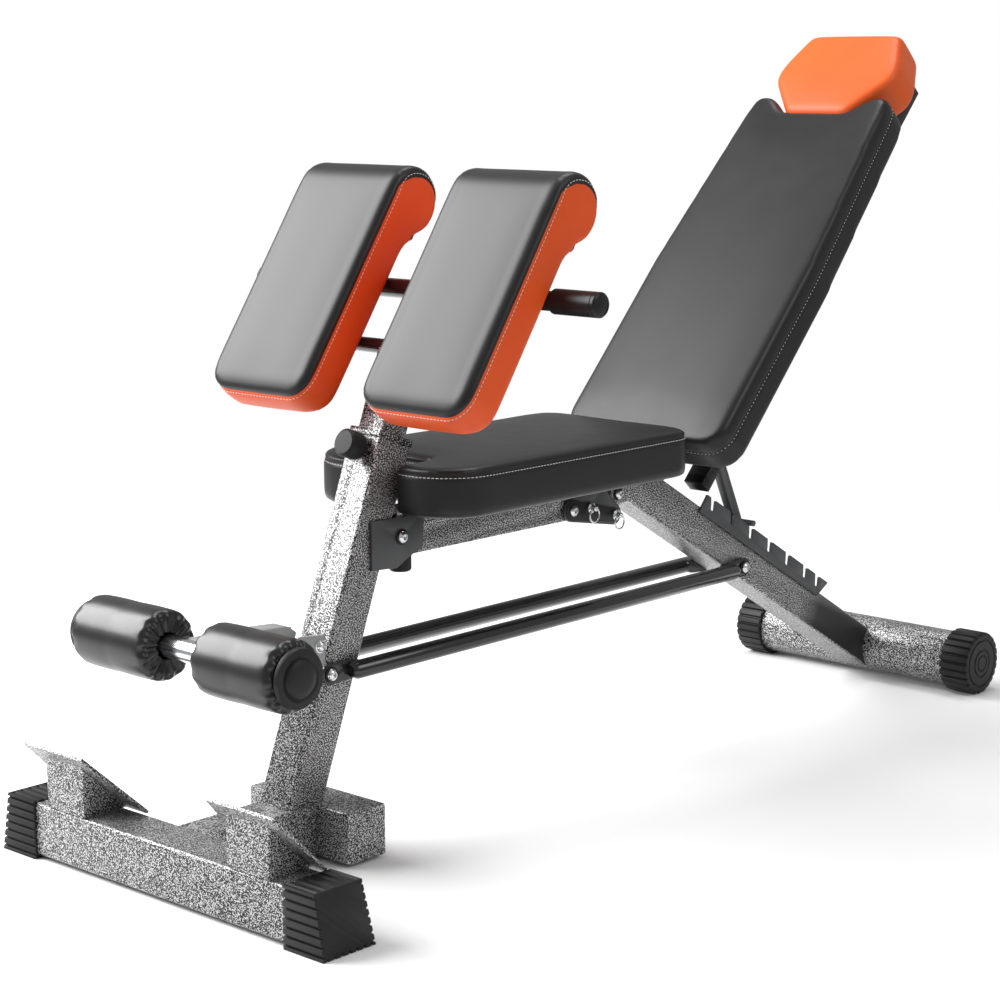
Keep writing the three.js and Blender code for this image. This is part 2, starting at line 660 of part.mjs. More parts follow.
function pullRing(y, z) {
  const ring = new THREE.TorusGeometry(ringRadius, ringWire, 8, 28)
  return ring.rotateY(Math.PI / 2).translate(pinHead + eyeReach, y, z - ringRadius)
}
const pins = [['front', lockPinY, lockPinZ], ['rear', legPinY, legPinZ]]
for (const [label, y, z] of pins) {
  add(`ring_pin_${label}`, ringPin(y, z), chrome)
  add(`pull_ring_${label}`, pullRing(y, z), chrome)
}

// ---------------------------------------------------------------- rear leg
const legTube = frame(...point(leg, 0, -half), -legSlope)
const [legPivotU, legPivotV] = within(leg, legPivotY, legPivotZ)
const rearTubeU = within(leg, rearTubeY, rearTubeZ)[0]

function rearLeg() {
  const section = hollowSection(mainTube, mainTube, tubeCorner, wall)
  const tube = run(section, -150, rearTubeU - 10, legTube)
  const front = box(-100, 100, 500, legFrontY, 0, 600)
  const top = box(-100, 100, 500, 900, legTopLimit, 600)
  const trimmed = cut(tube, front, top)
  const cheek = slab(belt([[legPivotY, legPivotZ, 14], [legPivotY + 30, legPivotZ + 4, 14]]), -half, half)
  const tongueRoom = slab(polygon([[600, 200], [legPivotY + 20, 200], [legPivotY + 20, legPivotZ + 26],
    [600, legPivotZ + 26]]), -half + wall, half - wall)
  const saddle = bar(rearTubeY, rearTubeZ, rearTubeRadius + clearance, -100, 100, 40)
  const openPivot = rodHole(rodRearY, rodRearZ, rodPivotPlay)
  return cut(join(trimmed, cheek), tongueRoom, saddle, openPivot, hole(legPivotY, legPivotZ))
}
add('rear_leg', rearLeg(), hammeredPaint)
add('leg_pivot_bolt', throughBolt(legPivotY, legPivotZ, half), chrome)

// Hooked notches: a steep front wall, a round seat for the rod, a low lip, then a ramp to the next.
function ladderOutline() {
  const seatRadius = strutRodRadius + 0.5
  const shape = new THREE.Shape()
  shape.moveTo(ladderStart, -ladderSkirt)
  shape.lineTo(ladderEnd - 15, -ladderSkirt)
  shape.lineTo(ladderEnd, toothTop)
  const places = Array.from({ length: notchCount }, (_, i) => notchFirst + i * notchPitch)
  places.push(places.at(-1) + lastNotchStep)
  for (const place of places.reverse()) {
    shape.lineTo(place + seatRadius + 3.5, toothTop - 3.5)
    shape.lineTo(place + seatRadius, toothTop - 1.5)
    shape.absarc(place, toothTop - seatRadius, seatRadius, 0, Math.PI, true)
    shape.lineTo(place - seatRadius, toothTop)
    shape.lineTo(place - seatRadius - 4, toothTop)
  }
  shape.lineTo(ladderStart + 6, toothTop)
  return shape
}
for (const [label, side] of sides) {
  const [x0, x1] = span(side, plateInner, plateInner + 3.2)
  add(`ladder_plate_${label}`, slab(ladderOutline(), x0, x1, leg, 5), darkPaint)
}

function fluted(radius, flutes, depth) {
  const pitch = (2 * Math.PI) / flutes
  const points = []
  for (let i = 0; i < flutes; i++) {
    const middle = -Math.PI / 2 + i * pitch
    for (const [turn, sink] of [[-0.32, 0], [0, 0], [0.32, 0], [0.5, 1]]) {
      const reach = radius - sink * depth
      points.push([reach * Math.cos(middle + turn * pitch), reach * Math.sin(middle + turn * pitch)])
    }
  }
  return polygon(points)
}

function rearCap(side) {
  const inner = rearTubeWidth / 2
  const grip = slab(fluted(rearCapRadius, rearCapFlutes, 2), ...span(side, inner, inner + rearCapLength - 4),
    frame(rearTubeY, rearTubeZ, 0))
  const seat = inner + rearCapLength - 4.5
  const face = [[0, seat - 2], [rearCapRadius - 3, seat - 2], [rearCapRadius - 3, seat + 2.5],
    [rearCapRadius - 6, seat + 4.5], [30, seat + 4.5], [30, seat + 2.5], [14, seat + 2.5], [12, seat + 5.5],
    [0, seat + 5.5]]
  const end = turned(face, new THREE.Vector3(0, rearTubeY, rearTubeZ), new THREE.Vector3(side, 0, 0), 32)
  const socket = bar(rearTubeY, rearTubeZ, rearTubeRadius + clearance, ...span(side, inner - 1, inner + 30), 40)
  return cut(join(grip, end), socket)
}

function roundTube(y, z, radius, halfLength) {
  const shape = new THREE.Shape().absarc(0, 0, radius, 0, 2 * Math.PI)
  shape.holes.push(new THREE.Path().absarc(0, 0, radius - wall, 0, 2 * Math.PI))
  return slab(shape, -halfLength, halfLength, frame(y, z, 0), 20)
}
add('rear_tube', roundTube(rearTubeY, rearTubeZ, rearTubeRadius, rearTubeWidth / 2 + 29), hammeredPaint)
for (const [label, side] of sides) {
  add(`rear_cap_${label}`, rearCap(side), plastic)
}

// ---------------------------------------------------------------- backrest hinge on the leg
const carrierInner = 9.3
const carrierSheet = 3
const hingeEar = 6.2
const pinRadius = 3.5

function hingeCarrier() {
  const [hingeU, hingeV] = within(leg, backHingeY, backHingeZ)
  const [footStart, footEnd] = [-3, 14]
  const outline = belt([[hingeU, hingeV, hingeEar], [footStart, clearance + 1, 1], [footEnd, clearance + 1, 1]])
  const ears = [1, -1].map((side) => slab(outline, ...span(side, carrierInner, carrierInner + carrierSheet), leg))
  const floor = slab(polygon([[footStart, clearance], [footEnd, clearance], [footEnd, clearance + 3],
    [footStart, clearance + 3]]), -carrierInner - 1, carrierInner + 1, leg)
  return cut(join(floor, ...ears), hole(backHingeY, backHingeZ, pinRadius + clearance))
}
add('hinge_carrier', hingeCarrier(), darkPaint)

function pinWithHeads(y, z, radius, grip) {
  const seat = grip + clearance
  const profile = [[0, -seat - 2.5], [radius + 2, -seat - 2.5], [radius + 2, -seat], [radius, -seat], [radius, seat],
    [radius + 2, seat], [radius + 2, seat + 2.5], [0, seat + 2.5]]
  return turned(profile, new THREE.Vector3(0, y, z), axisX, 16)
}
add('back_hinge_pin', pinWithHeads(backHingeY, backHingeZ, pinRadius, carrierInner + carrierSheet), gloss)

// ---------------------------------------------------------------- backrest
function channelSection(width, depth, thickness) {
  const [x, t] = [width / 2, thickness]
  return polygon([[-x, -depth], [-x + t, -depth], [-x + t, -t], [x - t, -t], [x - t, -depth], [x, -depth],
    [x, 0], [-x, 0]])
}

function backBracket() {
  const [hingeU, hingeV] = within(back, backHingeY, backHingeZ)
  const seat = clearance
  const level = backBoardLevel - clearance
  const outline = belt([[hingeU, hingeV, hingeEar], [70, level - 1, 1], [70, 40, 1]])
  const arm = belt([[52, seat + 1, 1], [74, seat + 1, 1], [40, level - 1, 1], [70, level - 1, 1]])
  const outer = carrierInner - clearance
  const plates = [1, -1].flatMap((side) => [outline, arm].map((shape) => (
    slab(shape, ...span(side, outer - 3, outer), back))))
  const web = slab(polygon([[-8, level - 3], [72, level - 3], [72, level], [-8, level]].reverse()),
    -outer + 1, outer - 1, back)
  const foot = slab(polygon([[54, seat], [74, seat], [74, seat + 3], [54, seat + 3]]), -outer + 1, outer - 1, back)
  const boardRoom = slab(polygon([[hingeU + 5, level], [90, level], [90, level + 9], [hingeU + 5, level + 9]]),
    -outer - 1, outer + 1, back)
  return cut(join(web, foot, ...plates), boardRoom, hole(backHingeY, backHingeZ, pinRadius + clearance))
}
add('back_bracket', backBracket(), darkPaint)

// A pressed hat section that holds a board off the rail.
function standoff(u0, u1, level, halfWidth) {
  const seat = clearance
  const top = level - clearance
  const legs = [1, -1].map((side) => slab(polygon([[u0, seat], [u1, seat], [u1, top], [u0, top]]),
    ...span(side, halfWidth - 3, halfWidth), back))
  const plates = [[seat, seat + 3], [top - 3, top]].map(([v0, v1]) => slab(
    polygon([[u0, v0], [u1, v0], [u1, v1], [u0, v1]]), -halfWidth + 1, halfWidth - 1, back))
  return join(plates[0], plates[1], ...legs)
}
add('back_standoff', standoff(400, 440, backBoardLevel, 13), darkPaint)
add('headrest_standoff', standoff(570, 610, headrestLevel, 13), darkPaint)

// The rod, the strut pin and the hinge make an isosceles triangle with its base along the leg.
const [hingeU] = within(leg, backHingeY, backHingeZ)
const strutRise = Math.sqrt(strutReach ** 2 - ((strutRodPlace - hingeU) / 2) ** 2)
const [strutTopY, strutTopZ] = point(leg, (strutRodPlace + hingeU) / 2, strutRodHover + strutRise)
const [rodY, rodZ] = point(leg, strutRodPlace, strutRodHover)
function strut() {
  const rodEnd = plateInner + 6
  return join(slab(belt([[strutTopY, strutTopZ, strutEnd], [rodY, rodZ, strutEnd]]), -strutBarHalf, strutBarHalf),
    bar(rodY, rodZ, strutRodRadius, -rodEnd, rodEnd, 16),
    bar(strutTopY, strutTopZ, pinRadius, -backRailWidth / 2, backRailWidth / 2, 16))
}
add('strut', strut(), darkPaint)
add('back_rail', cut(run(channelSection(backRailWidth, backRailDepth, 2), 0, backRailLength, back),
  hole(strutTopY, strutTopZ, pinRadius + clearance)), darkPaint)

function backPadOutline(inset = 0) {
  const halfWidth = backPadHalf - inset
  const bottom = backPadBottom + inset
  const corner = 30
  const [shoulder, shoulderHalf] = [backPadShoulder - inset, backPadShoulderHalf - inset]
  const [lobe, lobeHalf] = [backPadLobe - inset, backPadLobeHalf]
  const floor = backNotchFloor - inset
  const shape = new THREE.Shape()
  shape.moveTo(halfWidth - corner, bottom)
  shape.absarc(halfWidth - corner, bottom + corner, corner, -Math.PI / 2, 0)
  shape.lineTo(halfWidth, backPadTaperStart)
  shape.lineTo(shoulderHalf, shoulder)
  shape.quadraticCurveTo(shoulderHalf - 4, lobe, lobeHalf, lobe)
  shape.bezierCurveTo(lobeHalf - 18, lobe, backNotchHalf + 14, floor, backNotchHalf, floor)
  shape.lineTo(-backNotchHalf, floor)
  shape.bezierCurveTo(-backNotchHalf - 14, floor, -lobeHalf + 18, lobe, -lobeHalf, lobe)
  shape.quadraticCurveTo(-shoulderHalf + 4, lobe, -shoulderHalf, shoulder)
  shape.lineTo(-halfWidth, backPadTaperStart)
  shape.lineTo(-halfWidth, bottom + corner)
  shape.absarc(-halfWidth + corner, bottom + corner, corner, Math.PI, 1.5 * Math.PI)
  return shape
}
add('back_board', layer(backPadOutline(10), backBoardLevel, backBoardLevel + backBoardThick, back, 4), board)
add('back_pad', cushionOn(backPadOutline(), backBoardLevel + backBoardThick + clearance, backPadTop, back), vinyl)

function headrestOutline() {
  const wide = headrestWide
  const points = [[44, headrestBottom], [wide - 6, 572], [wide, 580], [wide, 595], [wide - 3, 606], [67, headrestTop]]
  return polygon([...points, ...points.map(([x, u]) => [-x, u]).reverse()])
}
add('headrest', cushionOn(headrestOutline(), headrestLevel, headrestFace, back), orangeVinyl)

// ---------------------------------------------------------------- thigh pad carriage
const innerV = (z) => (z - post.z) / Math.cos(THREE.MathUtils.degToRad(postLean))
const crossBarPlace = point(thigh, -15.9, thighBack - clearance - thighBoardThick - clearance - crossBarRadius)

add('inner_post',
  cut(run(hollowSection(innerTube, innerTube, tubeCorner, 2), innerV(innerBottomZ), innerV(innerTopZ), upPost),
    hole(handleY, handleZ, handleRadius + clearance), hole(...crossBarPlace, crossBarRadius + clearance)),
  hammeredPaint)
add('handle_bar', bar(handleY, handleZ, handleRadius, -handleHalf, handleHalf), gloss)
add('pad_cross_bar', bar(...crossBarPlace, crossBarRadius, -thighOuter + 20, thighOuter - 20, 20), gloss)

function grip(side) {
  const bore = handleRadius + clearance
  const profile = [[bore, gripStart], [gripRadius - 1, gripStart], [gripRadius, gripStart + 1],
    [gripRadius, gripEnd - 2], [gripRadius - 2, gripEnd], [0, gripEnd], [0, handleHalf + clearance],
    [bore, handleHalf + clearance], [bore, gripStart]]
  return turned(profile, new THREE.Vector3(0, handleY, handleZ), new THREE.Vector3(side, 0, 0))
}

function thighOutline() {
  const shape = new THREE.Shape()
  const corner = 22
  const low = -112
  shape.moveTo(low + corner, thighBack)
  shape.absarc(low + corner, thighBack + corner, corner, 1.5 * Math.PI, Math.PI, true)
  shape.absarc(low + corner, -corner, corner, Math.PI, 0.5 * Math.PI, true)
  shape.lineTo(hookCentre - 20, 0)
  shape.absarc(hookCentre, hookDepth, hookRadius, 0.62 * Math.PI, -0.5 * Math.PI, true)
  shape.lineTo(hookCentre - 50, hookDepth - hookRadius + 2)
  shape.lineTo(hookCentre - 67, thighBack)
  return shape
}
for (const [label, side] of sides) {
  const reach = span(side, thighInner, thighOuter)
  const inset = span(side, thighInner + 14, thighOuter - 14)
  add(`grip_${label}`, grip(side), plastic)
  add(`thigh_pad_${label}`, cushionAcross(thighOutline(), ...reach, thigh), orangeVinyl)
  const level = thighBack - clearance
  add(`thigh_board_${label}`, slab(polygon([[-95, level - thighBoardThick], [80, level - thighBoardThick],
    [80, level], [-95, level]]), ...inset, thigh), darkPaint)
}

// The origin is the middle of the bench's outline on the floor.
const outline = new THREE.Box3().setFromObject(bench)
const middle = (outline.min.y + outline.max.y) / 2
bench.children.forEach((mesh) => mesh.geometry.translate(0, -middle, 0))

export default bench
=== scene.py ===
"""Adjustable weight bench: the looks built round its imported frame. Metres, +X right, +Y rear, +Z up."""
import json
import math
import bmesh
import bpy
import numpy as np
from mathutils import Matrix, Quaternion, Vector
from mathutils.bvhtree import BVHTree


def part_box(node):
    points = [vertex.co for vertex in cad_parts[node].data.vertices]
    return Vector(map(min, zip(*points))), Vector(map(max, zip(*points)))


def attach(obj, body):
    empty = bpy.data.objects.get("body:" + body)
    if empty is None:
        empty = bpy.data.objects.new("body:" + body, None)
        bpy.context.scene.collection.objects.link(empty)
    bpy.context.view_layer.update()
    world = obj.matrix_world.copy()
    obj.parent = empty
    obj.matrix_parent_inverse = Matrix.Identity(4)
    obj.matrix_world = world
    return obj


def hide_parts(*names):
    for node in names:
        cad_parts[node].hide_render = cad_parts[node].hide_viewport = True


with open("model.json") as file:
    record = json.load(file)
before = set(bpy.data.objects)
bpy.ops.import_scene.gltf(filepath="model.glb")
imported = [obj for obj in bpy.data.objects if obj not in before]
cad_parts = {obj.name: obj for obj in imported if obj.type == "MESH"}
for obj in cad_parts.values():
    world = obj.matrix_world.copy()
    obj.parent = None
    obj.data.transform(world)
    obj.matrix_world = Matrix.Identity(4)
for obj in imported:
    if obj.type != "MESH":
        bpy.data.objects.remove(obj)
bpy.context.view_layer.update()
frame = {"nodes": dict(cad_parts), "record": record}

# ------------------------------------------------------------------ places, worked out from the frame
MM = 0.001
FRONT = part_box("front_base_tube")[0].y             # front face of the foot, where lengths start
back_tilt, thigh_tilt = 47.1, 56.1                 # degrees up from level
post_lean, leg_slope = 20.4, 30.4                  # degrees from upright, and down from level
post_foot_y, post_foot_z = 195.5, 64.4


def side_view(y_mm, z_mm, degrees):
    """A frame in the side view: x across the bench, y along the angle, z standing off it."""
    place = Matrix.Translation((0, FRONT + y_mm * MM, z_mm * MM))
    return place @ Matrix.Rotation(math.radians(degrees), 4, "X")


LEVEL = side_view(0, 0, 0)
BACK = side_view(908, 329, back_tilt)              # up the back rail, facing the sitter
THIGH = side_view(324, 600, thigh_tilt)            # up the thigh pads, facing forwards
POST = side_view(post_foot_y, post_foot_z, -post_lean)      # z climbs the post
LEG = side_view(814.5, 348.3, -leg_slope)          # down the rear leg, standing off its top

# ------------------------------------------------------------------ driving dimensions, millimetres
# cushions: floors and faces are levels in a pad's own frame, outlines are half widths
seat_half, seat_front, seat_rear = 120, 328, 758
seat_top, seat_seam = 430, 420
seat_notch_half, seat_notch_depth = 32, 64
seat_front_corner, seat_rear_corner, seat_notch_mouth = 64, 28, 8

back_half, back_low, back_taper = 127.5, -25, 257
back_shoulder, back_shoulder_half = 508, 112
back_lobe, back_lobe_half = 547, 90
back_notch_floor, back_notch_half = 519, 46
back_floor, back_face, back_seam = 77, 140, 115
back_corner = 30

head_outline = [(49, 517), (91, 571), (96, 580), (96, 597), (93, 610), (73, 661)]
head_floor, head_face = 72, 138

thigh_inner, thigh_outer = 43, 202
thigh_back, thigh_low, thigh_face = -51, -120, 4
thigh_corner = 34
thigh_lower_corner, thigh_cut_margin = 22, 10
hook_u, hook_v, hook_radius = 159, -36, 40
neck_reach, neck_radius, neck_step = 62, 30, 9     # the hollow under the hook
cover_wrap, stitch_gap = 9, 3.6
cover_step, cover_crease = 0.45, 0.9               # the cover stands up, its edge is drawn in

face_crown = 2                                     # what stuffing adds to a flat face
held_height = 9                                    # how far up the board holds the cover
cloth_frames, swell_smoothing = 20, 60             # frames of swelling, rounds of smoothing after it
stitch_radius, stitch_lift = 0.46, 0.15

roller_radius, roller_inner, roller_outer = 39, 36.4, 161.5
roller_pleats, pleat_depth, roller_shoulder, gathered_radius = 13, 3.0, 9, 15
bolt_shank, bolt_inset = 4, 5

cap_start, cap_end, cap_lean, cap_top = 203, 263, 12.5, 67.6
cap_front, cap_heel, cap_shoulder = 3.6, 68.5, 62
rear_ribs, rear_rib_depth = 24, 3.2
ridge_samples = 14                                 # points on each ridge
ridge_edge, ridge_wall = 0.55, 0.25                # where a ridge's flat ends and how its wall runs

upper_tube_top, upper_tube_corner = 548, 4
handle_plate_half, handle_plate_crown, handle_plate_foot = 5, 14, 10
bracket_arm_half = 13
cheek_inner, cheek_outer = 25.2, 28.4

ladder_start, ladder_end, ladder_skirt, tooth_top = 88, 411, 8, 17.5
notch_first, notch_pitch, last_notch_step, even_notches = 112.3, 48.2, 33.2, 6
slot_half, slot_depth = 4.9, 5.2

# painted shade on the rear leg's lower end, a plain black run over its side faces, in metres: where it
# starts and is full, its direction, where its side faces lie
leg_turn = math.radians(leg_slope)
leg_along = (0, math.cos(leg_turn), -math.sin(leg_turn))
leg_start = LEG.translation.dot(Vector(leg_along))
leg_painted_shade = (leg_start + 0.365, leg_start + 0.415, leg_along, 0.0248)


# ------------------------------------------------------------------ node helpers
class Shader:
    """One material's nodes, laid down one after another."""

    def __init__(self, name):
        self.material = bpy.data.materials.new(name)
        self.material.use_nodes = True
        self.nodes, self.links = self.material.node_tree.nodes, self.material.node_tree.links
        self.surface = self.nodes["Principled BSDF"]
        self.place = self.add("ShaderNodeTexCoord").outputs["Object"]

    def add(self, kind, **inputs):
        node = self.nodes.new(kind)
        for key, value in inputs.items():
            self.feed(node, key.replace("_", " "), value)
        return node

    def feed(self, node, key, value):
        if isinstance(value, bpy.types.NodeSocket):
            self.links.new(value, node.inputs[key])
        else:
            node.inputs[key].default_value = value

    def set(self, **values):
        for key, value in values.items():
            self.feed(self.surface, key.replace("_", " "), value)
        return self

    def noise(self, scale, detail=2.0, roughness=0.5, place=None):
        node = self.add("ShaderNodeTexNoise", Scale=scale, Detail=detail, Roughness=roughness)
        self.links.new(place or self.place, node.inputs["Vector"])
        return node.outputs["Fac"]

    def cells(self, scale, feature="F1", place=None):
        node = self.nodes.new("ShaderNodeTexVoronoi")
        node.feature = feature
        node.inputs["Scale"].default_value = scale
        self.links.new(place or self.place, node.inputs["Vector"])
        return node.outputs["Distance"]

    def ramp(self, value, *stops):
        node = self.nodes.new("ShaderNodeValToRGB")
        while len(node.color_ramp.elements) < len(stops):
            node.color_ramp.elements.new(0.5)
        for element, (at, colour) in zip(node.color_ramp.elements, stops):
            element.position = at
            element.color = (*colour, 1) if hasattr(colour, "__len__") else (colour,) * 3 + (1,)
        self.links.new(value, node.inputs["Fac"])
        return node.outputs["Color"]

    def scaled(self, value, low, high):
        node = self.add("ShaderNodeMapRange", To_Min=low, To_Max=high)
        self.links.new(value, node.inputs["Value"])
        return node.outputs["Result"]

    def mix(self, share, first, second):
        node = self.nodes.new("ShaderNodeMix")
        node.data_type = "RGBA"
        for socket, value in ((0, share), (6, first), (7, second)):
            if isinstance(value, bpy.types.NodeSocket):
                self.links.new(value, node.inputs[socket])
            else:
                node.inputs[socket].default_value = (*value, 1) if hasattr(value, "__len__") else value
        return node.outputs[2]

    def bump(self, height, strength, distance_mm, under=None):
        node = self.add("ShaderNodeBump", Strength=strength, Distance=distance_mm * MM)
        self.links.new(height, node.inputs["Height"])
        if under is not None:
            self.links.new(under, node.inputs["Normal"])
        return node.outputs["Normal"]


# ------------------------------------------------------------------ finishes
SILVER_STOPS = ((0.45, 0.003), (0.495, 0.02), (0.535, 0.27), (0.61, 0.62))
LEG_STOPS = ((0.475, 0.002), (0.505, 0.012), (0.535, 0.30), (0.60, 0.62))
RIM_STOPS = ((0.47, 0.003), (0.54, 0.012), (0.57, 0.30), (0.63, 0.7))
# the black of the painted shade on the rear leg's lower end
PAINTED_SHADE_BLACK = (0.012, 0.012, 0.013)


def hammered_paint(name, stops, fade=None):
    """Speckled black and silver paint. A fade (start, end, direction, half width) paints shade over it,
    running it out to black.
    """
    s = Shader(name)
    flakes = s.noise(640, 1.2, 0.45)
    clouds = s.noise(60, 1.0)
    blend = s.add("ShaderNodeMath", Value=flakes)
    blend.operation = "MULTIPLY_ADD"
    blend.inputs[1].default_value = 1.0
    s.links.new(s.scaled(clouds, -0.03, 0.03), blend.inputs[2])
    colour = s.ramp(blend.outputs[0], *stops)
    metal = s.ramp(blend.outputs[0], (0.44, 0.05), (0.56, 0.45))
    if fade:
        # painted shade: the speckle and its metal run out to plain black
        share = painted_shade_share(s, *fade)
        colour = s.mix(share, colour, PAINTED_SHADE_BLACK)
        metal = s.mix(share, metal, (0.0, 0.0, 0.0))
    gloss = s.ramp(blend.outputs[0], (0.42, 0.30), (0.6, 0.42))
    relief = s.bump(blend.outputs[0], 0.35, 0.15)
    return s.set(Base_Color=colour, Metallic=metal, Roughness=gloss, Normal=relief).material


def painted_shade_share(s, start, end, direction, half_width):
    """Rises from 0 to 1 along a direction, on the outer side faces only: the share of painted shade."""
    along = s.nodes.new("ShaderNodeVectorMath")
    along.operation = "DOT_PRODUCT"
    along.inputs[1].default_value = direction
    s.links.new(s.place, along.inputs[0])
    ramped = s.add("ShaderNodeMapRange", Value=along.outputs["Value"], From_Min=start, From_Max=end)
    apart = s.add("ShaderNodeSeparateXYZ", Vector=s.place)
    side = s.nodes.new("ShaderNodeMath")
    side.operation = "ABSOLUTE"
    s.links.new(apart.outputs["X"], side.inputs[0])
    soft = 0.6 * MM
    outer = s.add("ShaderNodeMapRange", From_Min=half_width - soft, From_Max=half_width)
    s.links.new(side.outputs[0], outer.inputs["Value"])
    both = s.nodes.new("ShaderNodeMath")
    both.operation = "MULTIPLY"
    s.links.new(ramped.outputs["Result"], both.inputs[0])
    s.links.new(outer.outputs["Result"], both.inputs[1])
    return both.outputs[0]


def satin_paint(name, colour, roughness=0.42, specular=0.5):
    """Powder coat: slightly clouded, with a fine orange peel."""
    s = Shader(name)
    clouds = s.noise(14, 3)
    shade = s.mix(clouds, tuple(c * 0.82 for c in colour), tuple(c * 1.16 for c in colour))
    relief = s.bump(s.noise(900, 2), 0.12, 0.12, s.bump(s.noise(160, 1), 0.06, 0.4))
    gloss = s.scaled(s.noise(45, 3), roughness - 0.06, roughness + 0.08)
    s.surface.inputs["Specular IOR Level"].default_value = specular
    return s.set(Base_Color=shade, Roughness=gloss, Normal=relief).material


def gloss_paint():
    """Black lacquer of the two rods, under a thin clear coat."""
    s = Shader("gloss_paint")
    dust = s.noise(220, 3)
    s.set(Base_Color=s.mix(dust, (0.006, 0.006, 0.007), (0.016, 0.016, 0.018)))
    s.set(Roughness=s.scaled(s.noise(70, 2), 0.14, 0.24), Normal=s.bump(s.noise(120, 1), 0.03, 0.3))
    s.surface.inputs["Coat Weight"].default_value = 0.25
    s.surface.inputs["Coat Roughness"].default_value = 0.06
    return s.material


def bright_chrome():
    """Plated bolts, rings and roller bar, lightly smeared."""
    s = Shader("chrome")
    smear = s.noise(90, 4, 0.7)
    s.set(Base_Color=s.mix(smear, (0.62, 0.63, 0.65), (0.80, 0.81, 0.82)), Metallic=1.0)
    return s.set(Roughness=s.scaled(smear, 0.10, 0.24), Normal=s.bump(s.noise(700, 2), 0.05, 0.05)).material


def moulded_plastic():
    """Black caps and knobs with a fine moulded grain."""
    s = Shader("moulded_plastic")
    grain = s.noise(1500, 3, 0.6)
    shade = s.mix(s.noise(18, 3), (0.006, 0.006, 0.007), (0.011, 0.011, 0.012))
    s.surface.inputs["Specular IOR Level"].default_value = 0.3
    relief = s.bump(grain, 0.28, 0.10, s.bump(s.noise(130, 2), 0.05, 0.4))
    return s.set(Base_Color=shade, Roughness=s.scaled(grain, 0.42, 0.6), Normal=relief).material


def vinyl_grain(s):
    """Pebbled grain of upholstery vinyl: shallow cells with fine creases between them."""
    pebbles = s.cells(620, "SMOOTH_F1")
    creases = s.cells(330, "DISTANCE_TO_EDGE")
    fine = s.noise(1400, 2)
    return s.bump(fine, 0.10, 0.06, s.bump(pebbles, 0.16, 0.12, s.bump(creases, 0.05, 0.10)))


def vinyl(name, dark, light, roughness, specular):
    """Upholstery cover in one colour, a little uneven in shade and gloss."""
    s = Shader(name)
    shade = s.mix(s.noise(9, 3), dark, light)
    gloss = s.scaled(s.noise(30, 3), roughness - 0.04, roughness + 0.05)
    s.surface.inputs["Specular IOR Level"].default_value = specular
    return s.set(Base_Color=shade, Roughness=gloss, Normal=vinyl_grain(s)).material


def two_tone_vinyl():
    """Dark cover where the mesh's cover attribute is above zero, orange where it is below."""
    s = Shader("thigh_pad_vinyl")
    attribute = s.nodes.new("ShaderNodeAttribute")
    attribute.attribute_name = "cover"
    share = s.ramp(attribute.outputs["Fac"], (0.49, 0.0), (0.51, 1.0))
    dark = s.mix(s.noise(9, 3), (0.008, 0.008, 0.009), (0.014, 0.014, 0.015))
    s.surface.inputs["Specular IOR Level"].default_value = 0.34
    orange = s.mix(s.noise(11, 3), (0.66, 0.066, 0.005), (0.75, 0.088, 0.009))
    s.set(Base_Color=s.mix(share, orange, dark), Normal=vinyl_grain(s))
    return s.set(Roughness=s.mix(share, (0.46, 0.46, 0.46), (0.40, 0.40, 0.40))).material


def roller_cover():
    """Smooth black sleeve of the foam rollers."""
    s = Shader("roller_cover")
    shade = s.mix(s.noise(24, 3), (0.008, 0.008, 0.009), (0.013, 0.013, 0.014))
    relief = s.bump(s.noise(900, 3), 0.12, 0.10, s.bump(s.noise(60, 2), 0.04, 0.8))
    return s.set(Base_Color=shade, Roughness=s.scaled(s.noise(60, 2), 0.27, 0.36), Normal=relief).material


def sealed_board():
    """Dark sealed board under the cushions."""
    s = Shader("sealed_board")
    fibres = s.noise(240, 4, 0.7)
    shade = s.ramp(fibres, (0.3, (0.020, 0.016, 0.013)), (0.7, (0.050, 0.040, 0.032)))
    return s.set(Base_Color=shade, Roughness=0.7, Normal=s.bump(fibres, 0.3, 0.2)).material


def thread(name, colour):
    """Twisted sewing thread."""
    s = Shader(name)
    twist = s.noise(2600, 2)
    shade = s.mix(twist, tuple(c * 0.75 for c in colour), colour)
    return s.set(Base_Color=shade, Roughness=0.75, Normal=s.bump(twist, 0.4, 0.1)).material


FINISH = {
    "hammered_paint": hammered_paint("hammered_paint", SILVER_STOPS),
    "dark_paint": satin_paint("dark_paint", (0.052, 0.054, 0.057)),
    "grey_paint": satin_paint("grey_paint", (0.27, 0.275, 0.28), 0.36),
    "gloss_paint": gloss_paint(),
    "chrome": bright_chrome(),
    "plastic": moulded_plastic(),
    "roller_foam": roller_cover(),
    "vinyl": vinyl("black_vinyl", (0.007, 0.007, 0.008), (0.012, 0.012, 0.013), 0.38, 0.34),
    "orange_vinyl": vinyl("orange_vinyl", (0.62, 0.080, 0.010), (0.70, 0.108, 0.016), 0.42, 0.3),
    "board": sealed_board(),
}
FRONT_COVER = two_tone_vinyl()
WHITE_THREAD = thread("white_thread", (0.78, 0.77, 0.74))
BLACK_RAIL = satin_paint("black_paint", (0.010, 0.010, 0.011), 0.34, 0.3)
BLACK_SPECKLE = hammered_paint("black_speckle", RIM_STOPS)


# ------------------------------------------------------------------ mesh helpers
def middle_of(node):
    """The middle of a CAD node in the side view, as a vector at x = 0."""
    low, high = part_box(node)
    return Vector((0, (low.y + high.y) / 2, (low.z + high.z) / 2))


def side_spot(node):
    """The middle of a CAD node in the level side view: (y, z) in millimetres."""
    middle = middle_of(node)
    return (middle.y - FRONT) / MM, middle.z / MM


def reach_of(node):
    """How far from the bench's middle a CAD node starts and ends, in millimetres."""
    low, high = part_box(node)
    return sorted((abs(low.x) / MM, abs(high.x) / MM))


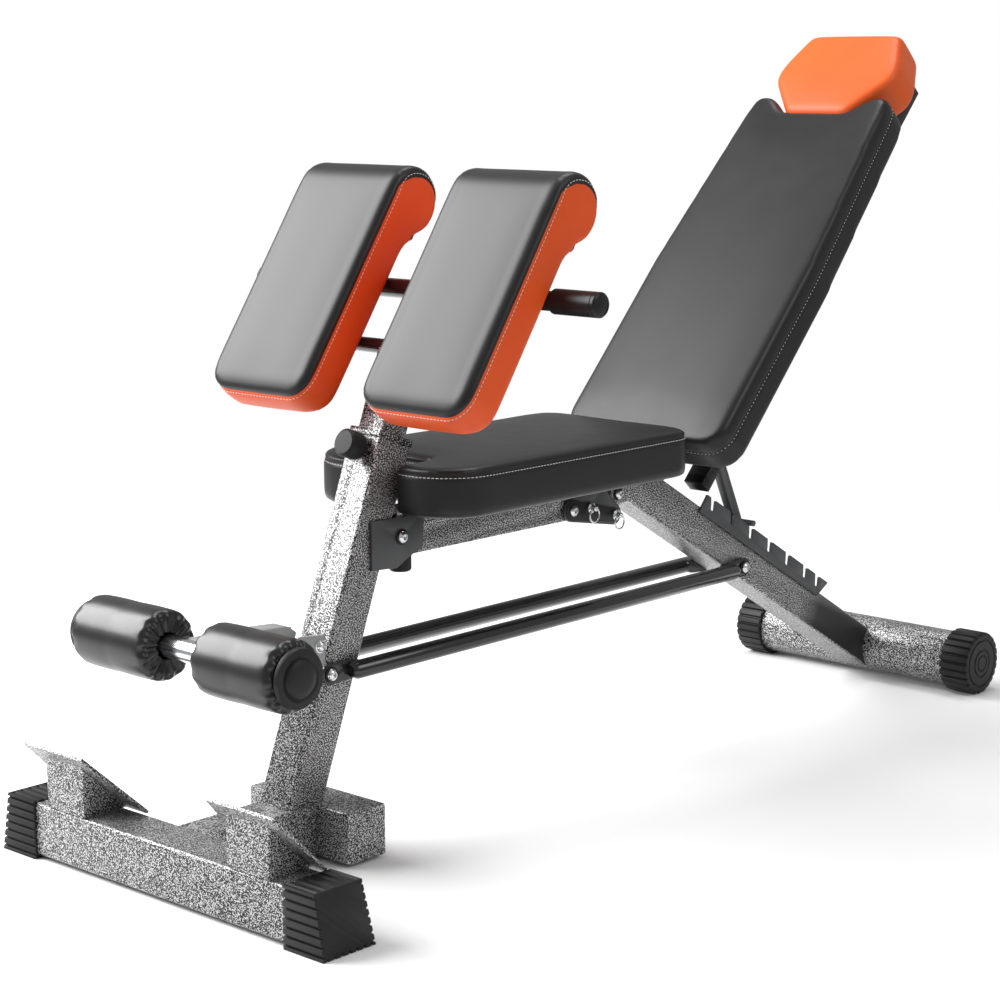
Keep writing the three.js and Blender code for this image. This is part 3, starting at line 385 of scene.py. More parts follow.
def radius_of(node):
    low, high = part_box(node)
    return (high.z - low.z) / 2 / MM


def new_object(name, mesh):
    thing = bpy.data.objects.new(name, mesh)
    bpy.context.scene.collection.objects.link(thing)
    return thing


def object_from(name, build):
    """A new object whose mesh is what build makes of an empty bmesh."""
    bm = bmesh.new()
    build(bm)
    mesh = bpy.data.meshes.new(name)
    bm.to_mesh(mesh)
    bm.free()
    return new_object(name, mesh)


def evaluated(thing):
    """The thing's mesh with its modifiers applied, in place of the old one."""
    graph = bpy.context.evaluated_depsgraph_get()
    mesh = bpy.data.meshes.new_from_object(thing.evaluated_get(graph))
    thing.modifiers.clear()
    old, thing.data = thing.data, mesh
    mesh.name = thing.name
    bpy.data.meshes.remove(old)
    return thing


def smooth(thing, sharp_degrees=181):
    """Smooth shading, with edges kept sharp above an angle."""
    bm = bmesh.new()
    bm.from_mesh(thing.data)
    limit = math.radians(sharp_degrees)
    for face in bm.faces:
        face.smooth = True
    for edge in bm.edges:
        edge.smooth = len(edge.link_faces) == 2 and edge.calc_face_angle(0) < limit
    bm.to_mesh(thing.data)
    bm.free()
    return thing


def eased(piece, width_mm, degrees=40):
    """Rounds a piece's edges over by a small bevel."""
    ease = piece.modifiers.new("eased_edges", "BEVEL")
    ease.width = width_mm * MM
    ease.segments = 2
    ease.limit_method = "ANGLE"
    ease.angle_limit = math.radians(degrees)
    return smooth(evaluated(piece), 32)


def finished(thing, body, material, slot, *nodes):
    """Gives a piece its finish, its body and the CAD nodes that it stands for."""
    thing.data.materials.clear()
    thing.data.materials.append(material)
    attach(thing, body)
    if nodes:
        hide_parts(*nodes)
    return thing


def coordinates(mesh):
    points = np.empty(len(mesh.vertices) * 3)
    mesh.vertices.foreach_get("co", points)
    return points.reshape(-1, 3)


def normals(mesh):
    vectors = np.empty(len(mesh.vertices) * 3)
    mesh.vertex_normals.foreach_get("vector", vectors)
    return vectors.reshape(-1, 3)


def put(mesh, points):
    mesh.vertices.foreach_set("co", np.ascontiguousarray(points, dtype=np.float32).ravel())
    mesh.update()


def local(place, points):
    """Points of the shared frame, in millimetres of a side-view frame."""
    inverse = np.array(place.inverted())
    return (points @ inverse[:3, :3].T + inverse[:3, 3]) / MM


def arc(cx, cy, radius, start, end, steps=8):
    """Points round a circle from one angle to another, in degrees."""
    turns = [math.radians(start + (end - start) * i / steps) for i in range(steps + 1)]
    return [(cx + radius * math.cos(t), cy + radius * math.sin(t)) for t in turns]


def prism(name, outline, low, high, place, across=False):
    """A closed solid: an outline in mm, run between two levels of a side-view frame.
    The outline lies in x and y, or in y and z with its length along x when across is set."""

    def build(bm):
        rings = []
        for level in (low, high):
            spots = [(level, a, b) if across else (a, b, level) for a, b in outline]
            rings.append([bm.verts.new(place @ (Vector(spot) * MM)) for spot in spots])
        bottom, top = rings
        bm.faces.new(bottom)
        bm.faces.new(top)
        for i in range(len(outline)):
            j = (i + 1) % len(outline)
            bm.faces.new((bottom[i], bottom[j], top[j], top[i]))
        bmesh.ops.recalc_face_normals(bm, faces=bm.faces)

    return object_from(name, build)


# ------------------------------------------------------------------ steel, plastic and bolts from the frame
def body_of_node(node):
    bodies = frame["record"]["behaviour"]["bodies"]
    return next(body for body, nodes in bodies.items() if node in nodes)


SLOT_OF = {s["node"]: s["material_slot"] for s in frame["record"]["subparts"]}


def dress(node, edge_mm, material=None):
    """A copy of a CAD node with eased edges, standing for the node."""
    source = frame["nodes"][node]
    bm = bmesh.new()
    bm.from_mesh(source.data)
    bmesh.ops.remove_doubles(bm, verts=bm.verts, dist=1e-6)
    bmesh.ops.dissolve_limit(bm, angle_limit=math.radians(0.8), verts=bm.verts, edges=bm.edges)
    mesh = bpy.data.meshes.new(node + "_eased")
    bm.to_mesh(mesh)
    bm.free()
    piece = eased(new_object(node + "_eased", mesh), edge_mm, 38)
    slot = SLOT_OF[node]
    finished(piece, body_of_node(node), material or FINISH[slot], slot, node)


def lathe(name, profile, origin, direction, segments=48):
    """A profile of (radius, height) in mm, turned round a direction from an origin in metres."""
    turn = Vector((0, 0, 1)).rotation_difference(direction).to_matrix()

    def build(bm):
        rings = []
        for radius, height in profile:
            if radius < 1e-6:
                rings.append([bm.verts.new(origin + turn @ Vector((0, 0, height * MM)))])
                continue
            ring = []
            for k in range(segments):
                angle = 2 * math.pi * k / segments
                spot = Vector((radius * math.cos(angle), radius * math.sin(angle), height)) * MM
                ring.append(bm.verts.new(origin + turn @ spot))
            rings.append(ring)
        for first, second in zip(rings, rings[1:]):
            for k in range(segments):
                n = (k + 1) % segments
                corners = [first[k % len(first)], first[n % len(first)]]
                corners += [second[n % len(second)], second[k % len(second)]]
                unique = list(dict.fromkeys(corners))
                if len(unique) > 2:
                    bm.faces.new(unique)
        bmesh.ops.recalc_face_normals(bm, faces=bm.faces)

    return object_from(name, build)


def bolt(node):
    """A bolt across the bench, with a domed socket head on a black washer at each end."""
    low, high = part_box(node)
    body, middle = body_of_node(node), middle_of(node)
    head = radius_of(node) - 1.5
    reach = high.x / MM - 4
    shank = [(0, -reach), (bolt_shank, -reach), (bolt_shank, reach), (0, reach)]
    piece = smooth(lathe(node + "_shank", shank, middle, Vector((1, 0, 0)), 24), 40)
    finished(piece, body, FINISH["chrome"], "chrome", node)
    for label, sign, x in (("right", 1, high.x), ("left", -1, low.x)):
        out = Vector((sign, 0, 0))
        seat = middle + Vector((x - sign * bolt_inset * MM, 0, 0))
        edge = head + 1.5
        washer = [(0, 0.1), (edge - 0.3, 0.1), (edge, 0.4), (edge, 1.1), (edge - 0.5, 1.5), (0, 1.5)]
        dome = [(0, 1.4), (head - 0.6, 1.4), (head - 0.3, 1.9), (head * 0.93, 3.0), (head * 0.76, 4.4),
                (head * 0.56, 5.4), (head * 0.44, 5.8), (head * 0.40, 5.7), (head * 0.38, 3.2), (0, 3.0)]
        piece = smooth(lathe(f"{node}_washer_{label}", washer, seat, out, 32), 40)
        finished(piece, body, FINISH["plastic"], "plastic")
        piece = smooth(lathe(f"{node}_dome_{label}", dome, seat, out, 36), 50)
        finished(piece, body, FINISH["chrome"], "chrome")


# ------------------------------------------------------------------ cushions
def voxel_copy(solid, voxel_mm):
    """The solid with an even skin of small squares, which can swell anywhere."""
    remesh = solid.modifiers.new("even_skin", "REMESH")
    remesh.mode = "VOXEL"
    remesh.voxel_size = voxel_mm * MM
    return evaluated(solid)


def relax(mesh, rounds):
    """Rounds the steps off a voxel skin."""
    bm = bmesh.new()
    bm.from_mesh(mesh)
    axes = {"use_axis_x": True, "use_axis_y": True, "use_axis_z": True}
    for _ in range(rounds):
        bmesh.ops.smooth_vert(bm, verts=bm.verts, factor=0.5, **axes)
    bm.to_mesh(mesh)
    bm.free()


def evened(mesh, vectors, rounds):
    """The vectors of a mesh's points, averaged with their neighbours: a taut cover has no creases."""
    ends = np.empty(len(mesh.edges) * 2, dtype=np.int64)
    mesh.edges.foreach_get("vertices", ends)
    first, second = ends.reshape(-1, 2).T
    count = len(mesh.vertices)
    degree = np.maximum(np.bincount(ends, minlength=count), 1)[:, None]
    for _ in range(rounds):
        around = np.zeros_like(vectors)
        for k in range(3):
            around[:, k] = np.bincount(first, vectors[second, k], count)
            around[:, k] += np.bincount(second, vectors[first, k], count)
        vectors = 0.4 * vectors + 0.6 * around / degree
    return vectors


def swell(cushion, cap_mm, pinned, pressure=4.0):
    """Blows the cover up as stuffing does, with the pinned stretch held by the board under it."""
    rest, skin = coordinates(cushion.data), normals(cushion.data)
    held = cushion.vertex_groups.new(name="board")
    held.add([int(i) for i in np.nonzero(pinned)[0]], 1.0, "REPLACE")
    cloth = cushion.modifiers.new("cover", "CLOTH")
    settings = cloth.settings
    settings.quality = 4
    settings.mass = 0.3
    settings.tension_stiffness = settings.compression_stiffness = 18
    settings.bending_stiffness = 0.6
    settings.vertex_group_mass = "board"
    settings.use_pressure = True
    settings.uniform_pressure_force = pressure
    settings.effector_weights.gravity = 0
    cloth.collision_settings.use_collision = False
    cloth.point_cache.frame_start, cloth.point_cache.frame_end = 1, cloth_frames
    for moment in range(1, cloth_frames + 1):
        bpy.context.scene.frame_set(moment)
    evaluated(cushion)
    bpy.context.scene.frame_set(1)
    cushion.vertex_groups.clear()
    moved = coordinates(cushion.data) - rest
    length = np.linalg.norm(moved, axis=1, keepdims=True)
    moved *= np.minimum(1, cap_mm * MM / np.maximum(length, 1e-9))
    outward = np.maximum(0, (moved * skin).sum(axis=1, keepdims=True))
    moved = skin * outward
    moved[pinned] = 0
    put(cushion.data, rest + evened(cushion.data, moved, swell_smoothing))


def refine(cushion):
    """One subdivision, after the swelling."""
    finer = cushion.modifiers.new("finer", "SUBSURF")
    finer.levels = finer.render_levels = 1
    return evaluated(cushion)


def make_cushion(solid, voxel_mm, cap_mm, pinned, place, ease_mm, relaxing=3):
    """An upholstered pad from its closed solid. pinned tells which points its board holds.
    The skin is made square to the pad's own frame, so that its flat faces stay flat."""
    rim = solid.modifiers.new("eased_rim", "BEVEL")
    rim.width = ease_mm * MM
    rim.segments = 4
    rim.limit_method = "ANGLE"
    rim.angle_limit = math.radians(40)
    rim.use_clamp_overlap = False
    evaluated(solid)
    solid.data.transform(place.inverted())
    cushion = voxel_copy(solid, voxel_mm)
    relax(cushion.data, relaxing)
    cushion.data.transform(place)
    swell(cushion, cap_mm, pinned(coordinates(cushion.data)))
    return smooth(refine(cushion))


def skin_of(thing):
    """A cushion's faces, ready for lines to be cast at them."""
    points = [v.co.copy() for v in thing.data.vertices]
    return BVHTree.FromPolygons(points, [p.vertices[:] for p in thing.data.polygons])


def skin_hit(skin, start, direction):
    """Where a line meets a cushion's skin, a little proud of it for thread, or None."""
    hit, normal, _, _ = skin.ray_cast(start, direction)
    return None if hit is None else hit + normal * stitch_lift * MM


def press_seam(cushion, path, width_mm, depth_mm, longest_mm=30):
    """Draws the skin in along a path, as thread does. A step past the longest is a break in the path."""
    points, outward = coordinates(cushion.data), normals(cushion.data)
    nodes = np.array([list(p) for p in path])
    near = np.full(len(points), 1e9)
    for first, second in zip(nodes, np.roll(nodes, -1, axis=0)):
        run = second - first
        size = run @ run
        if size < 1e-12 or size > (longest_mm * MM) ** 2:
            continue
        share = np.clip((points - first) @ run / size, 0, 1)
        near = np.minimum(near, np.linalg.norm(points - first - share[:, None] * run, axis=1))
    sink = depth_mm * MM * np.exp(-(near / (width_mm * MM)) ** 2)
    put(cushion.data, points - outward * sink[:, None])


def even_steps(points, step):
    """Points spaced evenly along a polyline of vectors."""
    lengths = [0.0]
    for first, second in zip(points, points[1:]):
        lengths.append(lengths[-1] + (second - first).length)
    count = max(2, int(lengths[-1] / step))
    marks = np.linspace(0, lengths[-1], count)
    table = np.array([list(p) for p in points])
    columns = [np.interp(marks, lengths, table[:, k]) for k in range(3)]
    return [Vector(row) for row in np.column_stack(columns)]


def round_outline(outline, level, place, skin, step_mm=4, reach_mm=40):
    """The line where a level of a side-view frame meets a cushion's skin, all the way round its outline."""
    closed = [Vector((*p, level)) for p in outline + outline[:1]]
    spots = even_steps(closed, step_mm)
    found = []
    for before, spot, after in zip([spots[-2]] + spots, spots, spots[1:] + [spots[1]]):
        along = (after - before).normalized()
        out = Vector((along.y, -along.x, 0))
        start = place @ ((spot + out * reach_mm) * MM)
        hit, normal, _, _ = skin.ray_cast(start, place.to_3x3() @ -out)
        if hit is None or (hit - place @ (spot * MM)).length > reach_mm * 0.5 * MM:
            hit, normal, _, _ = skin.find_nearest(place @ (spot * MM))
        found.append(hit + normal * stitch_lift * MM)
    return found


def stitch_tree():
    """Lays one thread dash after another along a curve."""
    tree = bpy.data.node_groups.new("thread_dashes", "GeometryNodeTree")
    face = tree.interface
    face.new_socket("Geometry", in_out="INPUT", socket_type="NodeSocketGeometry")
    for name in ("Pitch", "Dash", "Thread Radius"):
        face.new_socket(name, in_out="INPUT", socket_type="NodeSocketFloat")
    face.new_socket("Thread", in_out="INPUT", socket_type="NodeSocketMaterial")
    face.new_socket("Geometry", in_out="OUTPUT", socket_type="NodeSocketGeometry")
    source = tree.nodes.new("NodeGroupInput").outputs
    sink = tree.nodes.new("NodeGroupOutput").inputs
    points = tree.nodes.new("GeometryNodeCurveToPoints")
    capsule = tree.nodes.new("GeometryNodeMeshUVSphere")
    half = tree.nodes.new("ShaderNodeMath")
    stretch = tree.nodes.new("ShaderNodeCombineXYZ")
    place = tree.nodes.new("GeometryNodeInstanceOnPoints")
    realize = tree.nodes.new("GeometryNodeRealizeInstances")
    paint = tree.nodes.new("GeometryNodeSetMaterial")
    points.mode = "LENGTH"
    half.operation = "MULTIPLY"
    half.inputs[1].default_value = 0.5
    for name, value in (("Segments", 6), ("Rings", 5), ("Radius", 1.0)):
        capsule.inputs[name].default_value = value
    for start, end in (
        (source["Geometry"], points.inputs["Curve"]),
        (source["Pitch"], points.inputs["Length"]),
        (source["Dash"], half.inputs[0]),
        (source["Thread Radius"], stretch.inputs["X"]),
        (source["Thread Radius"], stretch.inputs["Y"]),
        (half.outputs[0], stretch.inputs["Z"]),
        (points.outputs["Points"], place.inputs["Points"]),
        (capsule.outputs["Mesh"], place.inputs["Instance"]),
        (points.outputs["Rotation"], place.inputs["Rotation"]),
        (stretch.outputs[0], place.inputs["Scale"]),
        (place.outputs["Instances"], realize.inputs["Geometry"]),
        (realize.outputs["Geometry"], paint.inputs["Geometry"]),
        (source["Thread"], paint.inputs["Material"]),
        (paint.outputs["Geometry"], sink["Geometry"]),
    ):
        tree.links.new(start, end)
    return tree


STITCHES = stitch_tree()


def stitch(name, path, body, slot, pitch_mm, dash_mm, closed=True):
    """A row of white thread dashes along a path."""
    curve = bpy.data.curves.new(name, "CURVE")
    curve.dimensions = "3D"
    spline = curve.splines.new("POLY")
    spline.points.add(len(path) - 1)
    for point, spot in zip(spline.points, path):
        point.co = (*spot, 1)
    spline.use_cyclic_u = closed
    row = bpy.data.objects.new(name + "_path", curve)
    bpy.context.scene.collection.objects.link(row)
    dashes = row.modifiers.new("thread_dashes", "NODES")
    dashes.node_group = STITCHES
    sizes = {"Pitch": pitch_mm * MM, "Dash": dash_mm * MM, "Thread Radius": stitch_radius * MM}
    sizes["Thread"] = WHITE_THREAD
    for item in STITCHES.interface.items_tree:
        if item.in_out == "INPUT" and item.name in sizes:
            dashes[item.identifier] = sizes[item.name]
    graph = bpy.context.evaluated_depsgraph_get()
    mesh = bpy.data.meshes.new_from_object(row.evaluated_get(graph))
    bpy.data.objects.remove(row)
    mesh.name = name
    finished(smooth(new_object(name, mesh)), body, WHITE_THREAD, slot)


# ------------------------------------------------------------------ seat
def seat_outline():
    """Rounded all round, with a notch in its front edge for the post."""
    half, notch, heel = seat_half, seat_notch_half, seat_front + seat_notch_depth
    front, rear, mouth = seat_front_corner, seat_rear_corner, seat_notch_mouth
    right = arc(notch - mouth, heel - mouth, mouth, 90, 0, 4)
    right += arc(notch + mouth, seat_front + mouth, mouth, 180, 270, 4)
    right += arc(half - front, seat_front + front, front, -90, 0)
    right += arc(half - rear, seat_rear - rear, rear, 0, 90)
    return right + [(-x, y) for x, y in reversed(right)]


def seat_pad():
    """The seat cushion, drawn down over the edge of its board."""
    outline = seat_outline()
    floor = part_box("seat_board")[0].z / MM
    held = (floor + held_height) * MM
    solid = prism("seat_cushion", outline, floor + 0.5, seat_top - face_crown, LEVEL)
    cushion = make_cushion(solid, 5, 5, lambda p: p[:, 2] < held, LEVEL, 5)
    seam = round_outline(outline, seat_seam, LEVEL, skin_of(cushion))
    press_seam(cushion, seam, 2.6, 1.5)
    seam = round_outline(outline, seat_seam - 2.2, LEVEL, skin_of(cushion), 3)
    stitch("seat_stitches", seam, "seat", "vinyl", 5.0, 3.9)
    finished(cushion, "seat", FINISH["vinyl"], "vinyl", "seat_pad")


# ------------------------------------------------------------------ backrest
def bezier(a, b, c, d, steps=8):
    """Points of a cubic curve after its first, from a to d with handles b and c."""
    a, b, c, d = (Vector(p) for p in (a, b, c, d))
    for i in range(1, steps + 1):
        t = i / steps
        yield tuple(a * (1 - t) ** 3 + b * (3 * t * (1 - t) ** 2) + c * (3 * t * t * (1 - t)) + d * t ** 3)


def back_outline():
    """Straight to its taper, then drawn in to two lobes with a hollow between them."""
    half, corner = back_half, back_corner
    right = arc(half - corner, back_low + corner, corner, -90, 0)
    right += [(half, back_taper), (back_shoulder_half, back_shoulder)]
    tip = (back_shoulder_half - 4, back_lobe)
    right += bezier(right[-1], tip, tip, (back_lobe_half, back_lobe), 6)
    crest, hollow = (back_lobe_half - 18, back_lobe), (back_notch_half + 14, back_notch_floor)
    right += bezier(right[-1], crest, hollow, (back_notch_half, back_notch_floor))
    return right + [(-x, y) for x, y in reversed(right)]


def back_pad():
    """The long cushion on the back board, seamed near its face."""
    outline = back_outline()
    held = back_floor + held_height
    solid = prism("back_cushion", outline, back_floor + 1, back_face - face_crown, BACK)
    cushion = make_cushion(solid, 5.5, 5, lambda p: local(BACK, p)[:, 2] < held, BACK, 7)
    seam = round_outline(outline, back_seam, BACK, skin_of(cushion))
    press_seam(cushion, seam, 2.2, 1.0)
    seam = round_outline(outline, back_seam - 1.5, BACK, skin_of(cushion), 3)
    stitch("back_stitches", seam, "back", "vinyl", 5.6, 2.4)
    finished(cushion, "back", FINISH["vinyl"], "vinyl", "back_pad")


def headrest():
    """The orange pad over the top of the back, with no seam."""
    outline = head_outline + [(-x, y) for x, y in reversed(head_outline)]
    held = head_floor + held_height - 1
    solid = prism("head_cushion", outline, head_floor + 1, head_face - face_crown, BACK)
    cushion = make_cushion(solid, 4.5, 5, lambda p: local(BACK, p)[:, 2] < held, BACK, 10, 4)
    finished(cushion, "back", FINISH["orange_vinyl"], "orange_vinyl", "headrest")


# ------------------------------------------------------------------ thigh pads
def thigh_profile():
    """Side outline: a flat pad whose top rolls over into a hook."""
    low, corner = thigh_low, thigh_lower_corner
    outline = arc(low + corner, thigh_back + corner, corner, 270, 180, 6)
    outline += arc(low + corner, thigh_face - corner, corner, 180, 90, 6)
    outline += arc(hook_u, hook_v, hook_radius, 90, -128, 24)
    neck, shelf = hook_u - neck_reach, thigh_back - neck_step
    outline += [(neck + 31, shelf - 1.5), (neck + 22, shelf + 2)]
    return outline + arc(neck, thigh_back - neck_radius, neck_radius, 35, 90, 5)


def thigh_plan(inner, outer):
    """Front outline: square at the top, round at the two lower corners."""
    corner, top = thigh_corner, hook_u + hook_radius + thigh_cut_margin
    lower = arc(inner + corner, thigh_low + corner, corner, 180, 270)
    lower += arc(outer - corner, thigh_low + corner, corner, 270, 360)
    return lower + [(outer, top), (inner, top)]


def intersect(first, second):
    """The first solid cut down to what it shares with the second, which is used up."""
    common = first.modifiers.new("common", "BOOLEAN")
    common.operation = "INTERSECT"
    common.solver = "EXACT"
    common.object = second
    evaluated(first)
    bpy.data.objects.remove(second)
    return first


def hook_wrap(degrees):
    """How far the dark cover comes over the side of the hook, by the angle round it."""
    turns = [-90, -70, -40, 20, 55, 90]
    return np.interp(degrees, turns, [0.0, 1.4, 6.0, 13.0, 13.5, cover_wrap])


def raise_cover(cushion, points, wrap, depth):
    """Steps the dark cover up off the side, with its edge drawn into a crease."""
    step = np.clip((wrap - depth) / 1.6, -1, 1)
    crease = np.exp(-((depth - wrap) / 1.8) ** 2)
    from_middle = np.abs(np.abs(points[:, 0]) - (thigh_inner + thigh_outer) / 2)
    on_side = np.clip((from_middle - 60) / 10, 0, 1)
    on_side = np.maximum(on_side, np.clip((thigh_low + 14 - points[:, 1]) / 8, 0, 1))
    lift = (cover_step * step - cover_crease * crease) * on_side
    put(cushion.data, coordinates(cushion.data) + normals(cushion.data) * (lift * MM)[:, None])


def behind_front(points):
    """How far each point lies behind the pad's front skin, and the wrap of the dark cover there."""
    u, v = points[:, 1], points[:, 2]
    du, dv = u - hook_u, v - hook_v
    ring = hook_radius - np.hypot(du, dv)
    round_hook = (du > 0) | ((v < thigh_back - 3) & (du > -hook_radius))
    depth = np.where(round_hook, ring, thigh_face - v)
    degrees = np.degrees(np.arctan2(dv, du))
    return depth, np.where(round_hook, hook_wrap(degrees), cover_wrap)


def thigh_pad(label, sign):
    """A hooked pad in a dark cover with orange sides."""
    inner, outer = sorted((sign * thigh_inner, sign * thigh_outer))
    name = f"thigh_cushion_{label}"
    solid = prism(name, thigh_profile(), inner, outer, THIGH, across=True)
    plan = prism("plan", thigh_plan(inner, outer), thigh_back - 40, 30, THIGH)
    solid = intersect(solid, plan)
    held = thigh_back + 6
    cushion = make_cushion(solid, 4.2, 3.5, lambda p: local(THIGH, p)[:, 2] < held, THIGH, 7)
    points = local(THIGH, coordinates(cushion.data))
    depth, wrap = behind_front(points)
    raise_cover(cushion, points, wrap, depth)
    cover = cushion.data.attributes.new("cover", "FLOAT", "POINT")
    share = 0.5 + 0.5 * np.clip((wrap - depth) / 20, -1, 1)
    cover.data.foreach_set("value", share.astype(np.float32))
    seam = thigh_seam(cushion, inner, outer)
    stitch(f"thigh_stitches_{label}", seam, "carriage", "orange_vinyl", 5.0, 3.6, closed=False)
    finished(cushion, "carriage", FRONT_COVER, "orange_vinyl", f"thigh_pad_{label}")


def hook_seam():
    """The stitched line round the hook's side, from under it to its front: (u, v) in the pad's frame."""
    line = []
    for degrees in np.linspace(-40, 90, 30):
        depth = np.interp(degrees, [-40, 20, 60, 90], [3.5, 8.5, 9.5, cover_wrap + stitch_gap])
        ring, turn = hook_radius - depth, math.radians(degrees)
        line.append((hook_u + ring * math.cos(turn), hook_v + ring * math.sin(turn)))
    return line


def thigh_seam(cushion, inner, outer, away_mm=30):
    """The stitched line: down one side from the hook, round the bottom and up the other side."""
    skin = skin_of(cushion)
    level = thigh_face - cover_wrap - stitch_gap
    down = [(u, level) for u in np.linspace(hook_u - 4, thigh_low + thigh_corner, 60)]
    sides = []
    for x, out in ((outer, 1), (inner, -1)):
        starts = [THIGH @ (Vector((x + out * away_mm, u, v)) * MM) for u, v in hook_seam() + down]
        hits = [skin_hit(skin, start, Vector((-out, 0, 0))) for start in starts]
        sides.append([hit for hit in hits if hit is not None])
    corner = thigh_corner
    plan = arc(outer - corner, thigh_low + corner, corner, 0, -90)
    plan += arc(inner + corner, thigh_low + corner, corner, 270, 180)
    bottom = []
    for spot in even_steps([Vector((*p, level)) for p in plan], 4):
        out = Vector((spot.x - (inner + outer) / 2, spot.y - (thigh_low + 60), 0)).normalized()
        hit = skin_hit(skin, THIGH @ ((spot + out * away_mm) * MM), THIGH.to_3x3() @ -out)
        if hit is not None:
            bottom.append(hit)
    return even_steps(sides[0] + bottom[1:-1] + sides[1][::-1], 3 * MM)


# ------------------------------------------------------------------ leg rollers
def roller_rows(length):
    """(radius, place along the roller, share of pleating) from one end's gathered middle to the other's."""
    shoulder, rows = roller_shoulder, []
    flat = roller_radius - shoulder - gathered_radius
    for t in np.linspace(0, 1, 12):
        pleats = 0.35 + 0.65 * math.sin(math.pi * (0.15 + 0.7 * t))
        rows.append((gathered_radius + flat * t, 1.2 * (1 - t) ** 2 + 0.8, pleats))
    for t in np.linspace(0.12, 1, 9):
        turn = t * math.pi / 2
        radius = roller_radius - shoulder + shoulder * math.sin(turn)
        rows.append((radius, 0.8 + shoulder * (1 - math.cos(turn)), (1 - t) ** 0.7))
    for t in np.linspace(0.15, 1, 14):
        along = 0.8 + shoulder + (length / 2 - shoulder - 0.8) * t
        rows.append((roller_radius + 0.5 * math.sin(math.pi * t), along, 0))
    return rows + [(radius, length - along, pleats) for radius, along, pleats in reversed(rows[:-1])]


def roller(label, sign):
    """Foam roller in a drawn cover, gathered into pleats round its two ends."""
    axis = middle_of(f"roller_{label}")
    length = roller_outer - roller_inner
    around = 208

    def build(bm):
        rings = []
        for radius, height, pleat in roller_rows(length):
            ring = []
            inward = 1 if height < length / 2 else -1
            on_end = 1 if radius > roller_radius - roller_shoulder else 0
            for k in range(around):
                angle = 2 * math.pi * k / around
                fold = math.sin(roller_pleats * angle + 0.9 * math.sin(3 * angle + sign) + inward)
                fold = math.copysign(abs(fold) ** 0.7, fold)
                deep = pleat_depth + 0.9 * math.sin(5 * angle + 2 * sign)
                depth = pleat * deep * (0.5 - 0.5 * fold)
                x = sign * (roller_inner + height + inward * depth)
                reach = radius - 0.5 * depth * on_end
                spot = Vector((x, reach * math.cos(angle), reach * math.sin(angle))) * MM
                ring.append(bm.verts.new(spot + axis))
            rings.append(ring)
        rings.append(rings[0])
        for first, second in zip(rings, rings[1:]):
            for k in range(around):
                n = (k + 1) % around
                bm.faces.new((first[k], first[n], second[n], second[k]))
        bmesh.ops.recalc_face_normals(bm, faces=bm.faces)

    piece = smooth(object_from(f"roller_sleeve_{label}", build))
    finished(piece, f"roller_{label}", FINISH["roller_foam"], "roller_foam", f"roller_{label}")


# radius and height over the roller's end
ROLLER_CAP = [(0, 0), (31, 0), (32, 0.8), (32, 4.6), (30.8, 6.4), (24.5, 7.0), (22.4, 5.6), (21.2, 5.6),
              (20.4, 7.4), (18, 9.4), (12.5, 10.9), (6, 11.4), (0, 11.5)]


def roller_cap(label, sign):
    """A domed cap with a ring sunk into it."""
    seat = roller_outer + 0.3
    profile = [(radius, seat + height) for radius, height in ROLLER_CAP]
    middle = middle_of(f"roller_cap_{label}")
    piece = smooth(lathe(f"roller_dome_{label}", profile, middle, Vector((sign, 0, 0)), 64), 35)
    finished(piece, "frame", FINISH["plastic"], "plastic", f"roller_cap_{label}")


# ------------------------------------------------------------------ notched ladder on the rear leg
def ladder_outline():
    """Flat-topped teeth with upright slots. Each slot has a round floor and an eased rear lip."""
    tilt = math.tan(math.radians(leg_slope))      # how far an upright wall leans from square to the leg
    places = [notch_first + notch_pitch * i for i in range(even_notches)]
    places.append(places[-1] + last_notch_step)
    outline = [(ladder_start, -ladder_skirt), (ladder_end - 15, -ladder_skirt), (ladder_end, tooth_top)]
    rise = slot_half + slot_depth
    for place in reversed(places):
        rear = place + slot_half - tilt * rise
        outline += [(rear + 4.5, tooth_top), (rear + 2.2, tooth_top - 0.5), (rear + 0.9, tooth_top - 1.9)]
        outline += arc(place, tooth_top - rise, slot_half, -leg_slope, -180, 8)
        outline.append((place - slot_half - tilt * rise, tooth_top))
    return outline + [(ladder_start + 5, tooth_top)]


def ladder_plate(label):
    """One toothed plate, on the side of the rear leg."""
    low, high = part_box(f"ladder_plate_{label}")
    outline = ladder_outline()
    plate = prism(f"toothed_plate_{label}", outline, low.x / MM, high.x / MM, LEG, across=True)
    finished(eased(plate, 0.35, 50), "leg", FINISH["dark_paint"], "dark_paint", f"ladder_plate_{label}")


# ------------------------------------------------------------------ ribbed end caps
def groove(turn):
    """0 on a ridge's flat top, 1 on the floor of the groove beside it, with a steep wall between them."""
    return min(1, max(0, (ridge_edge - abs(math.cos(turn))) / ridge_wall))


def ridges(first, last, count, depth):
    """A wall in ridges with grooves between them: (place, place with no groove)."""
    first, last = Vector(first), Vector(last)
    along = (last - first).normalized()
    inward = Vector((-along.y, along.x))
    for i in range(count * ridge_samples):
        share = i / (count * ridge_samples)
        plain = first.lerp(last, share)
        yield plain + inward * depth * groove(math.pi * count * share), plain


def loft(name, rings):
    """A closed solid through rings of the same number of points."""

    def build(bm):
        rows = [[bm.verts.new(spot) for spot in ring] for ring in rings]
        bm.faces.new(rows[0])
        bm.faces.new(rows[-1])
        for first, second in zip(rows, rows[1:]):
            for i in range(len(first)):
                j = (i + 1) % len(first)
                bm.faces.new((first[i], first[j], second[j], second[i]))
        bmesh.ops.recalc_face_normals(bm, faces=bm.faces)

    return object_from(name, build)


# how many ridges each wall of the front cap has, their depth, and whether they stop short of its end
CAP_WALLS = [(7, 3.2, False), (8, 2.4, False), (6, 2.8, True), (7, 3.1, False)]
